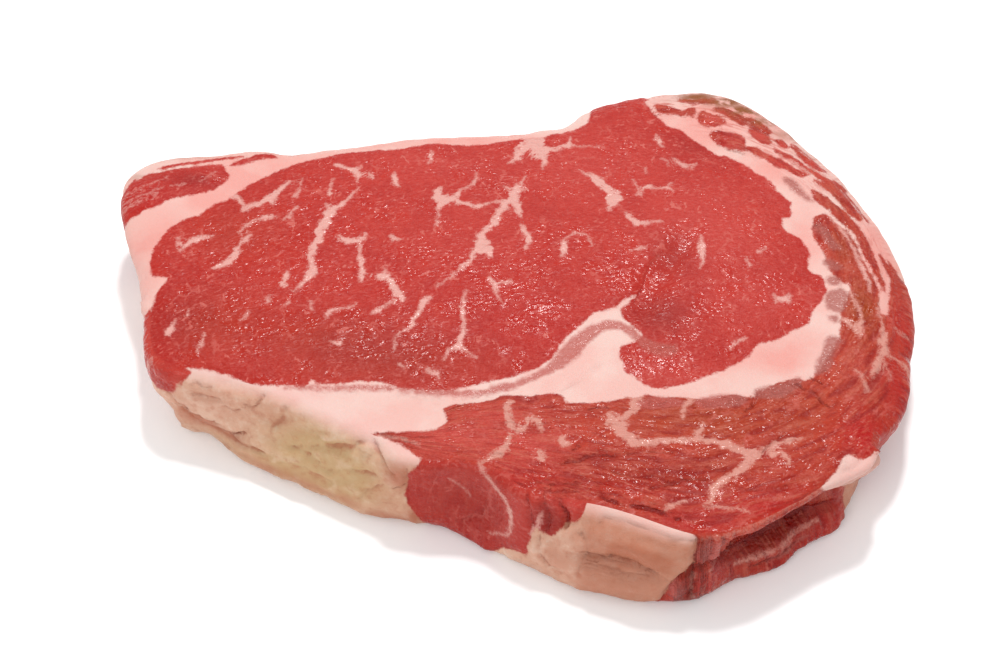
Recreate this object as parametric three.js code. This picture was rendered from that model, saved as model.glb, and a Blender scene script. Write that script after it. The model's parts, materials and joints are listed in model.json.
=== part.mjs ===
// A raw ribeye steak in one piece: a thick slice with a flat underside, an uneven cut face on top,
// and a side wall that leans, swells and hollows from place to place round its edge.
import * as THREE from "three";

// Lengths are in millimetres. X is the long way of the slice, Y runs from its front edge to its
// back, and Z is up from the surface it lies on. The origin is below the middle of the slice.
const CUT_HEIGHT = 25.6; // the cut face's level over the underside, before its mounds and seams
const CELLS_LONG = 62; // grid cells along the cut face's front and back
const CELLS_DEEP = 38; // grid cells along its two ends
const RELAX_PASSES = 200; // smoothing passes that spread the cut face's grid evenly
const NORMAL_REACH = 3; // edge points to each side that a wall direction is averaged over
const FOOT_RADIUS = 3.2; // rounding between the underside and the wall
const FALL_REACH = 3.2; // the cut face starts to fall this many rim radii from its edge
const FALL_SHARE = 0.55; // and falls by this share of the rim radius
const SETTINGS_TENSION = 0.35; // how closely the wall's settings hold to their values between rows
const WALL_LEVELS = [0, 0.035, 0.12, 0.25, 0.4, 0.56, 0.71, 0.84, 0.94]; // shares of its height

// The edge, counter-clockwise from the front left corner. Each row holds x, y, how far the foot
// stands out past the rim, how far the wall swells at half height, and the rim's rounding radius.
const EDGE = [
  [-91.4, -17.8, -5.5, 1.6, 1.6],
  [-86.4, -23.6, -4.5, 1.5, 1.4],
  [-74.1, -26.5, 2, 1, 1.6],
  [-58.1, -31.5, 7.4, 0.6, 1.1],
  [-34.1, -45, 6, 1, 1],
  [-24.1, -52, 0.4, 0.4, 1],
  [-8.1, -54, 5, -0.6, 1.1],
  [3.9, -62, 3.8, -0.5, 1.2],
  [17.9, -65.5, 7, 0.8, 1.4],
  [43.9, -75, 1, 0.6, 1.2],
  [55.9, -72.2, -1.8, -1.5, 1.1],
  [80.4, -56.7, -1.6, -2.5, 1.1],
  [87.2, -52.8, -8, -1, 1.6],
  [98.4, -34, -9, 0.8, 4],
  [103.4, -5.5, -6, 1, 4.4],
  [101.2, 16.2, -4, 1.2, 4],
  [83, 52, -3, 1.6, 3],
  [61.4, 73.4, -2, 1.5, 2.6],
  [49.9, 76.2, -1.5, 1.5, 2.6],
  [36.9, 74.6, -1.5, 1.5, 2.4],
  [21, 70.2, -1.5, 1.2, 2.2],
  [12, 62.6, -1, 1, 2],
  [-2.1, 59.6, -1, 1.4, 2],
  [-48.1, 54.4, -2, 1.6, 2],
  [-62.1, 51.8, -2, 1, 1.8],
  [-94.9, 49.2, -2.5, 1.2, 2],
  [-102, 42.8, -3, 1.2, 2],
  [-103, 34.8, -3.4, 1, 2],
  [-95.9, 8.5, -3.4, 0.6, 2],
];

// Broad rises of the cut face: the muscles stand a little over the fat between them.
const MOUNDS = {
  eye: { x: -20, y: 11, halfLength: 66, halfWidth: 30, turnDegrees: 4, rise: 1.7 },
  eyeRightEnd: { x: 50, y: 25, halfLength: 24, halfWidth: 26, turnDegrees: 0, rise: 1.3 },
  capInFront: { x: 44, y: -50, halfLength: 46, halfWidth: 12, turnDegrees: -4, rise: 1.5 },
  capAtTheRight: { x: 90, y: -7, halfLength: 8, halfWidth: 34, turnDegrees: 6, rise: 0.9 },
  tail: { x: -87, y: 37, halfLength: 17, halfWidth: 7, turnDegrees: 12, rise: 1.2 },
};

// Sunk lines of the cut face: where two muscles part, and where the grain of one has opened.
const SEAMS = {
  eyeToCapLeft: { path: [[-80, -27], [-40, -32], [0, -28], [20, -11]], width: 5, depth: 0.9 },
  eyeToCapFront: { path: [[34, -31], [66, -20], [76, -9]], width: 6, depth: 1 },
  eyeToCapRight: { path: [[80, 5], [76, 25], [58, 51], [44, 65]], width: 6, depth: 1 },
  eyeToTail: { path: [[-98, 21], [-78, 34], [-62, 46]], width: 4.5, depth: 1.1 },
  openGrain: { path: [[33, -3], [38, 6], [45, 17]], width: 3.4, depth: 1.4 },
  foldInTheCap: { path: [[60, -49], [48, -54], [50, -64]], width: 3.6, depth: 0.9 },
};

// Lumps (out above zero) and hollows (out below zero) of the wall round a point of it.
const WALL_SHAPES = {
  muscleRolledOverTheCorner: { at: [-89, -19, 17], along: 9, up: 7, out: 1.6 },
  bellyOfTheFatFace: { at: [-52, -39, 7], along: 24, up: 7, out: 1.6 },
  hollowOfTheLeanStrip: { at: [-12, -55, 17], along: 12, up: 6, out: -1.3 },
  foldedLean: { at: [3, -61, 9], along: 5, up: 7, out: 1.6 },
  fatBlock: { at: [26, -71, 10], along: 17, up: 7, out: 3 },
  shelfOverTheFatBlock: { at: [30, -71, 22], along: 15, up: 3.4, out: -1.6 },
  hollowUnderTheLip: { at: [66, -65, 15], along: 17, up: 6.5, out: -5.2 },
  footUnderTheLip: { at: [70, -61, 4], along: 12, up: 3.5, out: 1.6 },
  leftBellyOfTheBack: { at: [-40, 53, 11], along: 26, up: 8, out: 1.6 },
  dipInTheBack: { at: [8, 59, 13], along: 9, up: 9, out: -1.8 },
  rightBellyOfTheBack: { at: [70, 63, 10], along: 18, up: 8, out: 1.8 },
};

const bell = (distance, reach) => Math.exp(-((distance / reach) ** 2));
const total = (values) => values.reduce((sum, value) => sum + value, 0);

function distanceToSegment(x, y, [ax, ay], [bx, by]) {
  const share = ((x - ax) * (bx - ax) + (y - ay) * (by - ay)) / ((bx - ax) ** 2 + (by - ay) ** 2);
  const kept = THREE.MathUtils.clamp(share, 0, 1);
  return Math.hypot(x - ax - kept * (bx - ax), y - ay - kept * (by - ay));
}

function distanceToPath(x, y, path) {
  const distances = path.slice(1).map((end, i) => distanceToSegment(x, y, path[i], end));
  return Math.min(...distances);
}

function moundRise(x, y, mound) {
  const turn = THREE.MathUtils.degToRad(mound.turnDegrees);
  const dx = x - mound.x;
  const dy = y - mound.y;
  const along = (dx * Math.cos(turn) + dy * Math.sin(turn)) / mound.halfLength;
  const across = (dy * Math.cos(turn) - dx * Math.sin(turn)) / mound.halfWidth;
  return mound.rise * bell(Math.hypot(along, across), 1);
}

// Slow swells that leave no part of the cut face quite level.
function unevenness(x, y) {
  const long = Math.sin(x / 17 + y / 29 + 0.6) + Math.sin(y / 13 - x / 31 + 1.9);
  const short = Math.sin(x / 7.5 - y / 9 + 0.4) * Math.sin(y / 6.5 + x / 15);
  return 0.22 * long + 0.16 * short;
}

function cutFaceHeight(x, y) {
  const raised = Object.values(MOUNDS).map((mound) => moundRise(x, y, mound));
  const sunk = Object.values(SEAMS).map(
    ({ path, width, depth }) => depth * bell(distanceToPath(x, y, path), width),
  );
  return CUT_HEIGHT + total(raised) - total(sunk) + unevenness(x, y);
}

// The edge at equal steps, each with its outward direction in plan and its own wall settings.
function edgeStations(count) {
  const line = new THREE.CatmullRomCurve3(
    EDGE.map(([x, y]) => new THREE.Vector3(x, y, 0)),
    true,
  );
  const settings = new THREE.CatmullRomCurve3(
    EDGE.map(([, , lean, swell, rim]) => new THREE.Vector3(lean, swell, rim)),
    true,
    "catmullrom",
    SETTINGS_TENSION,
  );
  const shares = Array.from({ length: count }, (_, i) => line.getUtoTmapping(i / count));
  const points = shares.map((share) => line.getPoint(share));
  return points.map((point, i) => {
    const ahead = points[(i + NORMAL_REACH) % count];
    const behind = points[(i - NORMAL_REACH + count) % count];
    const outward = new THREE.Vector2(ahead.y - behind.y, behind.x - ahead.x).normalize();
    const { x: lean, y: swell, z: rim } = settings.getPoint(shares[i]);
    return { x: point.x, y: point.y, outward, lean, swell, rim };
  });
}

// How far a quarter-round edge has drawn in at this share of its radius.
function roundedBy(share) {
  const left = 1 - Math.min(share, 1);
  return 1 - Math.sqrt(1 - left * left);
}

function wallShapeOut(x, y, z) {
  const parts = Object.values(WALL_SHAPES).map(({ at, along, up, out }) => {
    const away = Math.hypot(x - at[0], y - at[1]);
    return out * bell(away, along) * bell(z - at[2], up);
  });
  return total(parts);
}

function wallPoint(station, level) {
  const { x, y, outward, lean, swell, rim } = station;
  const rimHeight = cutFaceHeight(x, y) - FALL_SHARE * rim;
  const z = level * rimHeight;
  const out =
    lean * (1 - level) +
    swell * 4 * level * (1 - level) +
    wallShapeOut(x, y, z) -
    FOOT_RADIUS * roundedBy(z / FOOT_RADIUS) -
    rim * roundedBy((rimHeight - z) / rim);
  return new THREE.Vector3(x + outward.x * out, y + outward.y * out, z);
}

// A grid that spans the closed rim: its border follows the rim, and its inside is first blended
// from the four sides and then relaxed, each point to the middle of its four neighbours.
function spanRim(rim) {
  const grid = Array.from({ length: CELLS_DEEP + 1 }, () => []);
  const count = rim.length;
  for (let i = 0; i <= CELLS_LONG; i += 1) {
    grid[0][i] = rim[i];
    grid[CELLS_DEEP][i] = rim[2 * CELLS_LONG + CELLS_DEEP - i];
  }
  for (let j = 0; j <= CELLS_DEEP; j += 1) {
    grid[j][0] = rim[(count - j) % count];
    grid[j][CELLS_LONG] = rim[CELLS_LONG + j];
  }
  const corner = (j, i) => grid[j * CELLS_DEEP][i * CELLS_LONG];
  const blend = (axis, j, i) => {
    const u = i / CELLS_LONG;
    const v = j / CELLS_DEEP;
    const deep = (1 - v) * grid[0][i][axis] + v * grid[CELLS_DEEP][i][axis];
    const long = (1 - u) * grid[j][0][axis] + u * grid[j][CELLS_LONG][axis];
    const front = (1 - u) * corner(0, 0)[axis] + u * corner(0, 1)[axis];
    const back = (1 - u) * corner(1, 0)[axis] + u * corner(1, 1)[axis];
    return deep + long - (1 - v) * front - v * back;
  };
  for (let j = 1; j < CELLS_DEEP; j += 1) {
    for (let i = 1; i < CELLS_LONG; i += 1) {
      grid[j][i] = new THREE.Vector3(blend("x", j, i), blend("y", j, i), 0);
    }
  }
  for (let pass = 0; pass < RELAX_PASSES; pass += 1) {
    for (let j = 1; j < CELLS_DEEP; j += 1) {
      for (let i = 1; i < CELLS_LONG; i += 1) {
        const { x, y } = new THREE.Vector3()
          .add(grid[j][i - 1])
          .add(grid[j][i + 1])
          .add(grid[j - 1][i])
          .add(grid[j + 1][i])
          .divideScalar(4);
        grid[j][i].set(x, y, 0);
      }
    }
  }
  return grid;
}

// Lifts the inside of the grid to the cut face, which falls as it nears a rounded rim.
function liftCutFace(grid, stations) {
  for (let j = 1; j < CELLS_DEEP; j += 1) {
    for (let i = 1; i < CELLS_LONG; i += 1) {
      const point = grid[j][i];
      const nearest = stations
        .map((station) => ({ station, away: Math.hypot(point.x - station.x, point.y - station.y) }))
        .reduce((best, next) => (next.away < best.away ? next : best));
      const { rim } = nearest.station;
      const near = 1 - THREE.MathUtils.smoothstep(nearest.away, 0, FALL_REACH * rim);
      point.z = cutFaceHeight(point.x, point.y) - FALL_SHARE * rim * near;
    }
  }
}

function makeSteakGeometry() {
  const stations = edgeStations(2 * (CELLS_LONG + CELLS_DEEP));
  const count = stations.length;
  const rings = [...WALL_LEVELS, 1].map((level) => stations.map((each) => wallPoint(each, level)));
  const rim = rings[rings.length - 1];
  const grid = spanRim(rim);
  liftCutFace(grid, stations);

  const positions = [];
  const triangles = [];
  const numbers = new Map();
  const numberOf = (point) => {
    if (!numbers.has(point)) {
      numbers.set(point, positions.length / 3);
      positions.push(point.x, point.y, point.z);
    }
    return numbers.get(point);
  };
  const addFace = (...corners) => triangles.push(...corners.map(numberOf));

  for (let level = 1; level < rings.length; level += 1) {
    const below = rings[level - 1];
    const above = rings[level];
    for (let i = 0; i < count; i += 1) {
      const next = (i + 1) % count;
      addFace(below[i], below[next], above[next]);
      addFace(below[i], above[next], above[i]);
    }
  }
  for (let j = 0; j < CELLS_DEEP; j += 1) {
    for (let i = 0; i < CELLS_LONG; i += 1) {
      addFace(grid[j][i], grid[j][i + 1], grid[j + 1][i + 1]);
      addFace(grid[j][i], grid[j + 1][i + 1], grid[j + 1][i]);
    }
  }
  const [foot] = rings;
  const outline = foot.map(({ x, y }) => new THREE.Vector2(x, y));
  for (const [a, b, c] of THREE.ShapeUtils.triangulateShape(outline, [])) {
    addFace(foot[a], foot[c], foot[b]);
  }

  const geometry = new THREE.BufferGeometry();
  geometry.setAttribute("position", new THREE.Float32BufferAttribute(positions, 3));
  geometry.setIndex(triangles);
  geometry.computeVertexNormals();
  geometry.computeBoundingBox();
  const middle = geometry.boundingBox.getCenter(new THREE.Vector3());
  geometry.translate(-middle.x, -middle.y, 0);
  return geometry;
}

const rawBeef = new THREE.MeshStandardMaterial({ color: 0xc4473f, roughness: 0.42, metalness: 0 });
const steak = new THREE.Mesh(makeSteakGeometry(), rawBeef);
steak.name = "ribeye_steak";

const model = new THREE.Group();
model.add(steak);

export default model;
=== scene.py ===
"""A raw ribeye steak: marbled eye muscle, outer cap, small tail, fat wedge, rind and wet sheen."""

import json
import logging
import math
from collections.abc import Iterable
from dataclasses import dataclass, field

import bpy
import numpy as np
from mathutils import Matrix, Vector, noise

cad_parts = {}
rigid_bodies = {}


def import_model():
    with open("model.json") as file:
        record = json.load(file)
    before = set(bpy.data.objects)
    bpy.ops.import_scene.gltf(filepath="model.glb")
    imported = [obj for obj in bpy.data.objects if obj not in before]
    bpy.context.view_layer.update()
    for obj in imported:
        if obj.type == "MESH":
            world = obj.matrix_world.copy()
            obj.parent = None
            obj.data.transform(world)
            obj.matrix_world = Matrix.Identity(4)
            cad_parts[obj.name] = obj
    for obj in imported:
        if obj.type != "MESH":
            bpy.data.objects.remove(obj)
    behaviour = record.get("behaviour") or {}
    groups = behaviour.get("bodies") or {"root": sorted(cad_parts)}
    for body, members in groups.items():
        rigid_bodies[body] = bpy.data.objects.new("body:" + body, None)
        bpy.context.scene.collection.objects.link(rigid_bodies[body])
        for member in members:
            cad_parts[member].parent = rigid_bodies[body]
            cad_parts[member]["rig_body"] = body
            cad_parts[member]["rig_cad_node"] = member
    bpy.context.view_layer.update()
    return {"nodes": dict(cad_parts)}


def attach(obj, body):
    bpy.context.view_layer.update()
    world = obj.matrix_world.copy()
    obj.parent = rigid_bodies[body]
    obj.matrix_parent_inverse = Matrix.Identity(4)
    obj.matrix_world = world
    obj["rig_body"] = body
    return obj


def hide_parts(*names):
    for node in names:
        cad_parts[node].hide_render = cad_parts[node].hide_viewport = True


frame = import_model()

NODE = "ribeye_steak"
MM = 0.001

Outline = tuple[tuple[float, float], ...]
Course = tuple[tuple[float, float, float], ...]

log = logging.getLogger("ribeye")


@dataclass(frozen=True)
class Shift:
    """A move, in millimetres, for the points of a table that lie in one part of the plan."""

    x: float
    y: float
    left: float = -math.inf
    right: float = math.inf
    front: float = -math.inf
    back: float = math.inf

    def covers(self, x: float, y: float) -> bool:
        """Whether a point lies in the part that this move is for."""
        return self.left < x < self.right and self.front < y < self.back


def settle(points: Iterable[tuple[float, ...]],
           shifts: Iterable[Shift]) -> tuple[tuple[float, ...], ...]:
    """Moves the points of an outline or a vein, each by the first shift that covers it.

    Args:
        points: The points, each x and y, and for a vein its half width.
        shifts: The shifts, the narrowest first.

    Returns:
        The points, to a tenth of a millimetre.
    """
    moved = []
    for x, y, *half in points:
        shift = next((one for one in shifts if one.covers(x, y)), Shift(0, 0))
        moved.append((round(x + shift.x, 1), round(y + shift.y, 1), *half))
    return tuple(moved)


# ---------------------------------------------------------------------------
# The cut face in plan: x, y in millimetres, and for a streak its half width.
# A table whose name ends in READ is as first read; its shifts then settle it.
# ---------------------------------------------------------------------------

EYE_READ: Outline = (
    (-94, -14), (-91.9, -8), (-90.8, -3), (-90, 1), (-88.6, 4), (-87.8, 5.8), (-90, 6.3),
    (-91.6, 6.6), (-92.4, 9), (-92.8, 13), (-91.8, 17.5), (-89.8, 22), (-87, 25.6), (-84, 27.6),
    (-81.8, 28.2), (-81, 29.6), (-78, 32.2), (-75, 33.8), (-73, 35.6), (-71, 38), (-68, 41),
    (-64, 43.9), (-60, 46.2), (-55, 48.1), (-50, 49.6), (-45, 51.1), (-40, 51.8), (-35, 52.3),
    (-30, 52.2), (-25, 53.8), (-20, 54.6), (-15, 54.1), (-10, 53.7), (-5, 54.6), (0, 56),
    (4, 56.6), (9.4, 57.2), (11.5, 58.8), (14.5, 59.1), (17.5, 60.3), (20, 62), (21.5, 64.2),
    (21.8, 68), (22, 76), (36, 79), (37.2, 73), (37.8, 69.8), (39.6, 66.5), (41.2, 63.8),
    (43.2, 61.6), (46.3, 60.2), (48.5, 57.6), (50.6, 55.5), (53, 53.4), (54.8, 51.2),
    (56.2, 50.2), (58.2, 49.9), (60.2, 48.5), (63, 46.4), (65, 43.6), (68, 41.4), (70, 38.6),
    (70.9, 36), (72.6, 34.4), (74.1, 32.2), (74.1, 29.6), (73.4, 27.6), (71.8, 26.8),
    (71.2, 24.6), (72, 22), (73.6, 21.2), (75.2, 20.3), (76.4, 18.3), (77.9, 15), (77, 12.4),
    (76.9, 9.8), (78.5, 8.2), (80.1, 7.4), (80.7, 5), (81, 2.8), (80.2, 0.8), (79.3, -1.2),
    (77.8, -3.2), (76.4, -5.6), (76, -8), (73.5, -9.3), (70.5, -11.2), (67.5, -13.2),
    (64, -14.6), (61.5, -16), (60.3, -18.2), (57, -21), (54, -22.8), (50.5, -24.6),
    (47, -26.4), (43.5, -27.8), (40, -28.6), (37, -29.5), (34.5, -29.2), (32.3, -27.6),
    (30.3, -25.9), (28.3, -24.8), (28, -22.4), (27, -20.2), (27.1, -18), (28.3, -16.4),
    (31, -15.3), (33, -13.2), (31, -10.6), (29, -8.6), (28, -6.6), (28.3, -4.4), (29.8, -2.8),
    (31.8, -0.2), (29, -1.6), (27.3, -3.8), (24.5, -5.4), (21, -6.2), (19.4, -8.2),
    (17.3, -10.2), (15.3, -12.7), (13, -15.3), (11.4, -18.2), (9.8, -20.6), (7, -22.9),
    (3, -24.8), (-0.5, -26.3), (-4, -27.2), (-8, -28.4), (-12, -29.5), (-16, -30.2),
    (-22, -30.2), (-28, -29.4), (-31, -28.2), (-35, -27.8), (-40, -28.2), (-45, -28.9),
    (-48, -28.2), (-49.3, -27.6), (-51, -29.3), (-57, -28.9), (-62, -28.4), (-66, -27.5),
    (-70, -25.7), (-75, -24), (-79.4, -22.4),
    (-81.4, -22.8), (-82.3, -24), (-81.8, -26), (-81.2, -28.6), (-80.8, -33), (-86, -37),
    (-97, -24),
)
# The near left corner is read as it lies and stays; the rest of the rim moves back.
EYE_SHIFTS = (
    Shift(0, 0, left=-87, right=-79.2, front=-38, back=-22),
    Shift(0, 1.7, left=40, front=28),
    Shift(0, 1.1, left=60, front=10),
    Shift(-0.4, 0.9, right=-84, front=-12, back=30),
    Shift(0, 0.9),
)
EYE: Outline = settle(EYE_READ, EYE_SHIFTS)

CAP_READ: Outline = (
    (-35, -42.9), (-27, -42.5), (-20.5, -42.1), (-17.6, -41.2), (-15.8, -39.2),
    (-16.4, -35.8), (-13, -34.6), (-8, -34), (-4.5, -32.8), (-1.5, -31.4), (1.5, -31.8),
    (5, -31), (8, -30.4), (11.2, -30.3), (12.8, -31.6), (13.6, -33.2), (16.5, -34.2),
    (20.5, -34.3), (25, -33.6), (28.5, -34), (31, -32.4), (33.5, -31.2), (37, -31),
    (42, -30.8), (48, -31.4), (54.5, -30.9), (58.8, -31), (61.5, -28.6), (66, -25.8),
    (70, -24.8), (74, -24.8), (77, -22.4), (79.2, -19), (80.8, -15.5), (82.6, -12.4),
    (83.2, -9.5), (84.6, -6.4), (88, -5),
    (114, -6), (114, -20), (98, -50.6),
    (88, -50.8), (83.6, -51.6), (81.4, -50.4), (79.6, -51.6), (78, -55.2), (75, -58.6),
    (70, -68), (58, -84),
    (30, -84), (0, -74), (-13, -64), (-18, -54.5), (-22.5, -50),
    (-26, -46.8), (-30.5, -44.3),
)
# Only the cap's front edge along the fat band moves, stretch by stretch.
CAP_SHIFTS = (
    Shift(0, 0.9, left=-17, right=4, front=-37),
    Shift(0, -0.3, left=4, right=16, front=-36),
    Shift(0, 0.5, left=16, right=27, front=-36),
    Shift(0, 2.1, left=27, right=30, front=-36),
    Shift(0, 0.7, left=30, right=34, front=-36),
    Shift(0, -0.5, left=34, right=44, front=-36),
    Shift(0, -1.2, left=44, right=50, front=-36),
    Shift(0, -1, left=56, right=76, front=-32),
)
CAP: Outline = settle(CAP_READ, CAP_SHIFTS)

# The far half of the cap: strands of muscle bedded in fat.
STRANDS: tuple[Outline, ...] = (
    ((40, 71.3), (42.5, 71.5), (45, 70.3), (47.5, 68.5), (48.3, 66.8), (46.5, 67.5),
     (43.5, 68.3), (41, 68.5)),
    ((46.5, 74.3), (50, 73.5), (53, 74), (56, 73.5), (56.5, 71.8), (54, 72), (50, 72.3),
     (47, 73.3)),
    ((48.5, 69.8), (50.5, 69.8), (50.3, 66.5), (49.3, 66.5), (48.3, 68.5)),
    ((52.5, 68.5), (54.5, 67.3), (56.8, 66), (58.8, 63.8), (57, 63), (54.5, 62.5), (52.5, 63.5),
     (51.5, 65.5)),
    ((54.8, 60.5), (57.5, 60.5), (60.5, 59.5), (63.3, 57.8), (63.3, 54), (62, 53.5), (59, 55),
     (56.3, 56.5), (54.8, 58.5)),
    ((55.8, 69.8), (58.3, 69.8), (61, 68.3), (63.5, 66.5), (64.8, 64.5), (64, 62.8), (61.5, 64),
     (59, 66.5), (56.5, 68.5)),
    ((65, 66.5), (67, 65.5), (69.5, 63.5), (71, 61), (70, 59.5), (67.5, 61.5), (65.5, 64)),
    ((65, 62.3), (67, 61.5), (69.5, 59), (70.5, 56.5), (70, 55.3), (67.5, 56.5), (65.5, 59)),
    ((72, 57.5), (73.8, 57.5), (75, 55.5), (74.5, 54.3), (73, 55.3)),
    ((63.8, 54.5), (66.5, 53.8), (70, 51), (73, 49), (76, 46), (79, 43.8), (77, 43), (74, 45.5),
     (71, 47), (68.5, 49.8), (65, 52.3)),
    ((71.3, 54), (73, 52.5), (75, 51.5), (77.5, 49), (79.8, 46), (80, 44.3), (77.5, 46.5),
     (75, 49), (72.5, 51)),
    ((80, 46.5), (83, 44), (87.5, 41.5), (88, 40), (85, 41), (81, 43.8)),
    ((76, 56.5), (79, 53), (82, 49), (84, 46), (81, 47), (78, 51)),
    ((81, 41.5), (84.5, 41), (87.5, 39.5), (90, 35), (92.5, 30), (92.5, 28), (90.8, 28),
     (89, 30.5), (86.5, 35), (84, 38.5)),
    ((80, 38), (82.5, 36.5), (85, 33.5), (88, 30.5), (90, 27), (92, 23), (93.5, 18.5),
     (94.5, 13.5), (95.5, 8.5), (96, 4.5), (95.5, 3.5), (95, 6), (93, 11.5), (91.5, 16),
     (90.5, 21), (89, 24), (86.5, 26.5), (84, 30.5), (81.5, 33), (80.3, 36)),
    ((80, 28), (82.5, 29), (85, 26), (87.5, 23), (89.5, 19), (90.5, 15), (91.5, 11), (93, 7),
     (94, 3), (93.5, -2), (93.5, -15), (86, -17), (83.8, -9), (84, -5), (85.5, -1), (87, 2.5),
     (86.5, 5), (84.5, 6.5), (82.5, 11), (81.5, 16.5), (79.5, 21), (79.5, 26)),
    ((96, 16), (97.5, 14), (100, 10), (103, 10), (106, 2), (106, -14), (95, -14), (96.5, -4),
     (97, 1), (98, 6), (97.5, 9.5), (96.5, 13)),
)

TAIL: Outline = (
    (-106, 27), (-105, 35), (-101.5, 39), (-99.5, 42), (-97, 44), (-94.5, 44.5), (-90, 45.5),
    (-85, 46.5), (-81, 47.5), (-77.5, 47.5), (-76, 45.5), (-75, 43.5), (-76.5, 40), (-80.5, 37),
    (-85, 35.5), (-89.5, 34), (-92.5, 32), (-96, 30.5), (-99.5, 28), (-102.5, 26.5),
)
TAIL_UPPER: Outline = (
    (-94.5, 45.5), (-93.5, 47), (-90, 48), (-85, 49), (-81, 50), (-77, 50.8), (-72.5, 51.5),
    (-72.5, 50.5), (-78, 49.3), (-84, 47.8), (-90, 46.3),
)
TAIL_TIP: Outline = (
    (-75.5, 47.3), (-74, 48.8), (-71, 50.3), (-68.5, 52), (-65.5, 52.5), (-63.5, 52),
    (-62.8, 50.8), (-65, 50.8), (-67.5, 49.8), (-70, 48.5), (-73, 47.3), (-74.8, 47),
)

# Films of grey-mauve tissue over the fat.
FILMS: tuple[Outline, ...] = (
    ((-55, -28.2), (-46, -28.3), (-38, -28.1), (-31, -28.1), (-28.6, -28.5), (-30, -29.4),
     (-38, -29.4), (-46, -29.3), (-55, -28.9)),
    ((-27, -28.8), (-22, -29.1), (-15, -29.4), (-8, -29.4), (-3.6, -28.8), (-3.6, -30.1),
     (-8, -30.9), (-15, -31), (-22, -30.5), (-27, -29.6)),
    (
        (-5, -29.8), (0, -28.9), (5, -26.4), (9, -24.2), (13, -22.5), (15, -20.8), (17, -18.8),
        (19.3, -14.8), (21.8, -12.4), (24, -10.8), (27.5, -10.6), (30, -12.8), (32.6, -15.8),
        (35, -18), (38, -18.6), (41.4, -18.2), (41.6, -15.5), (38, -15.2), (35.5, -14.2),
        (33, -12.6), (31, -10.2), (28.5, -8.6), (25, -7.8), (21, -8.8), (18.6, -10.2),
        (15.8, -12.6), (13.2, -15.6), (11.3, -18.8), (9.2, -21.4), (5, -24.7), (0, -26.8),
        (-5, -28),
    ),
    ((72.6, 42.2), (74.4, 42.6), (76.2, 40.4), (78, 37), (80, 33.4), (77.4, 35.2), (74.2, 38.8)),
    ((79.6, 26.4), (82, 24.4), (84, 20.6), (86.4, 16.4), (83, 17.4), (81, 21.6)),
    ((81.4, 13.6), (84, 12.8), (85.6, 10.4), (83, 10.2), (81.4, 11.8)),
    ((81.4, 8), (84.6, 7.4), (84.2, 5), (82, 5.4)),
    ((80.4, 1), (82, 3.2), (85, 3.2), (86, 1), (85, -3.2), (83, -4.2), (81, -3.2), (80.2, -1)),
    ((80.8, -5.2), (83.2, -5.8), (82.4, -7.4), (80.8, -6.6)),
    (
        (80.4, -11.8), (83.2, -12.4), (82.6, -15.2), (80.8, -18), (80.4, -20.4), (78.4, -23.8),
        (75.8, -24.2), (76.4, -20.2), (78, -17), (79, -14),
    ),
    ((60, -30.2), (63, -28), (67, -27.4), (71, -25.4), (72, -27.2), (69, -30.6), (64, -32.6)),
    ((45, -34.2), (48, -31.6), (54, -31), (58, -32), (57, -34.2), (50, -35.6)),
    ((31, -33.2), (36, -31.4), (41, -32), (42, -34.6), (36, -35.6), (32, -35.2)),
)

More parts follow.
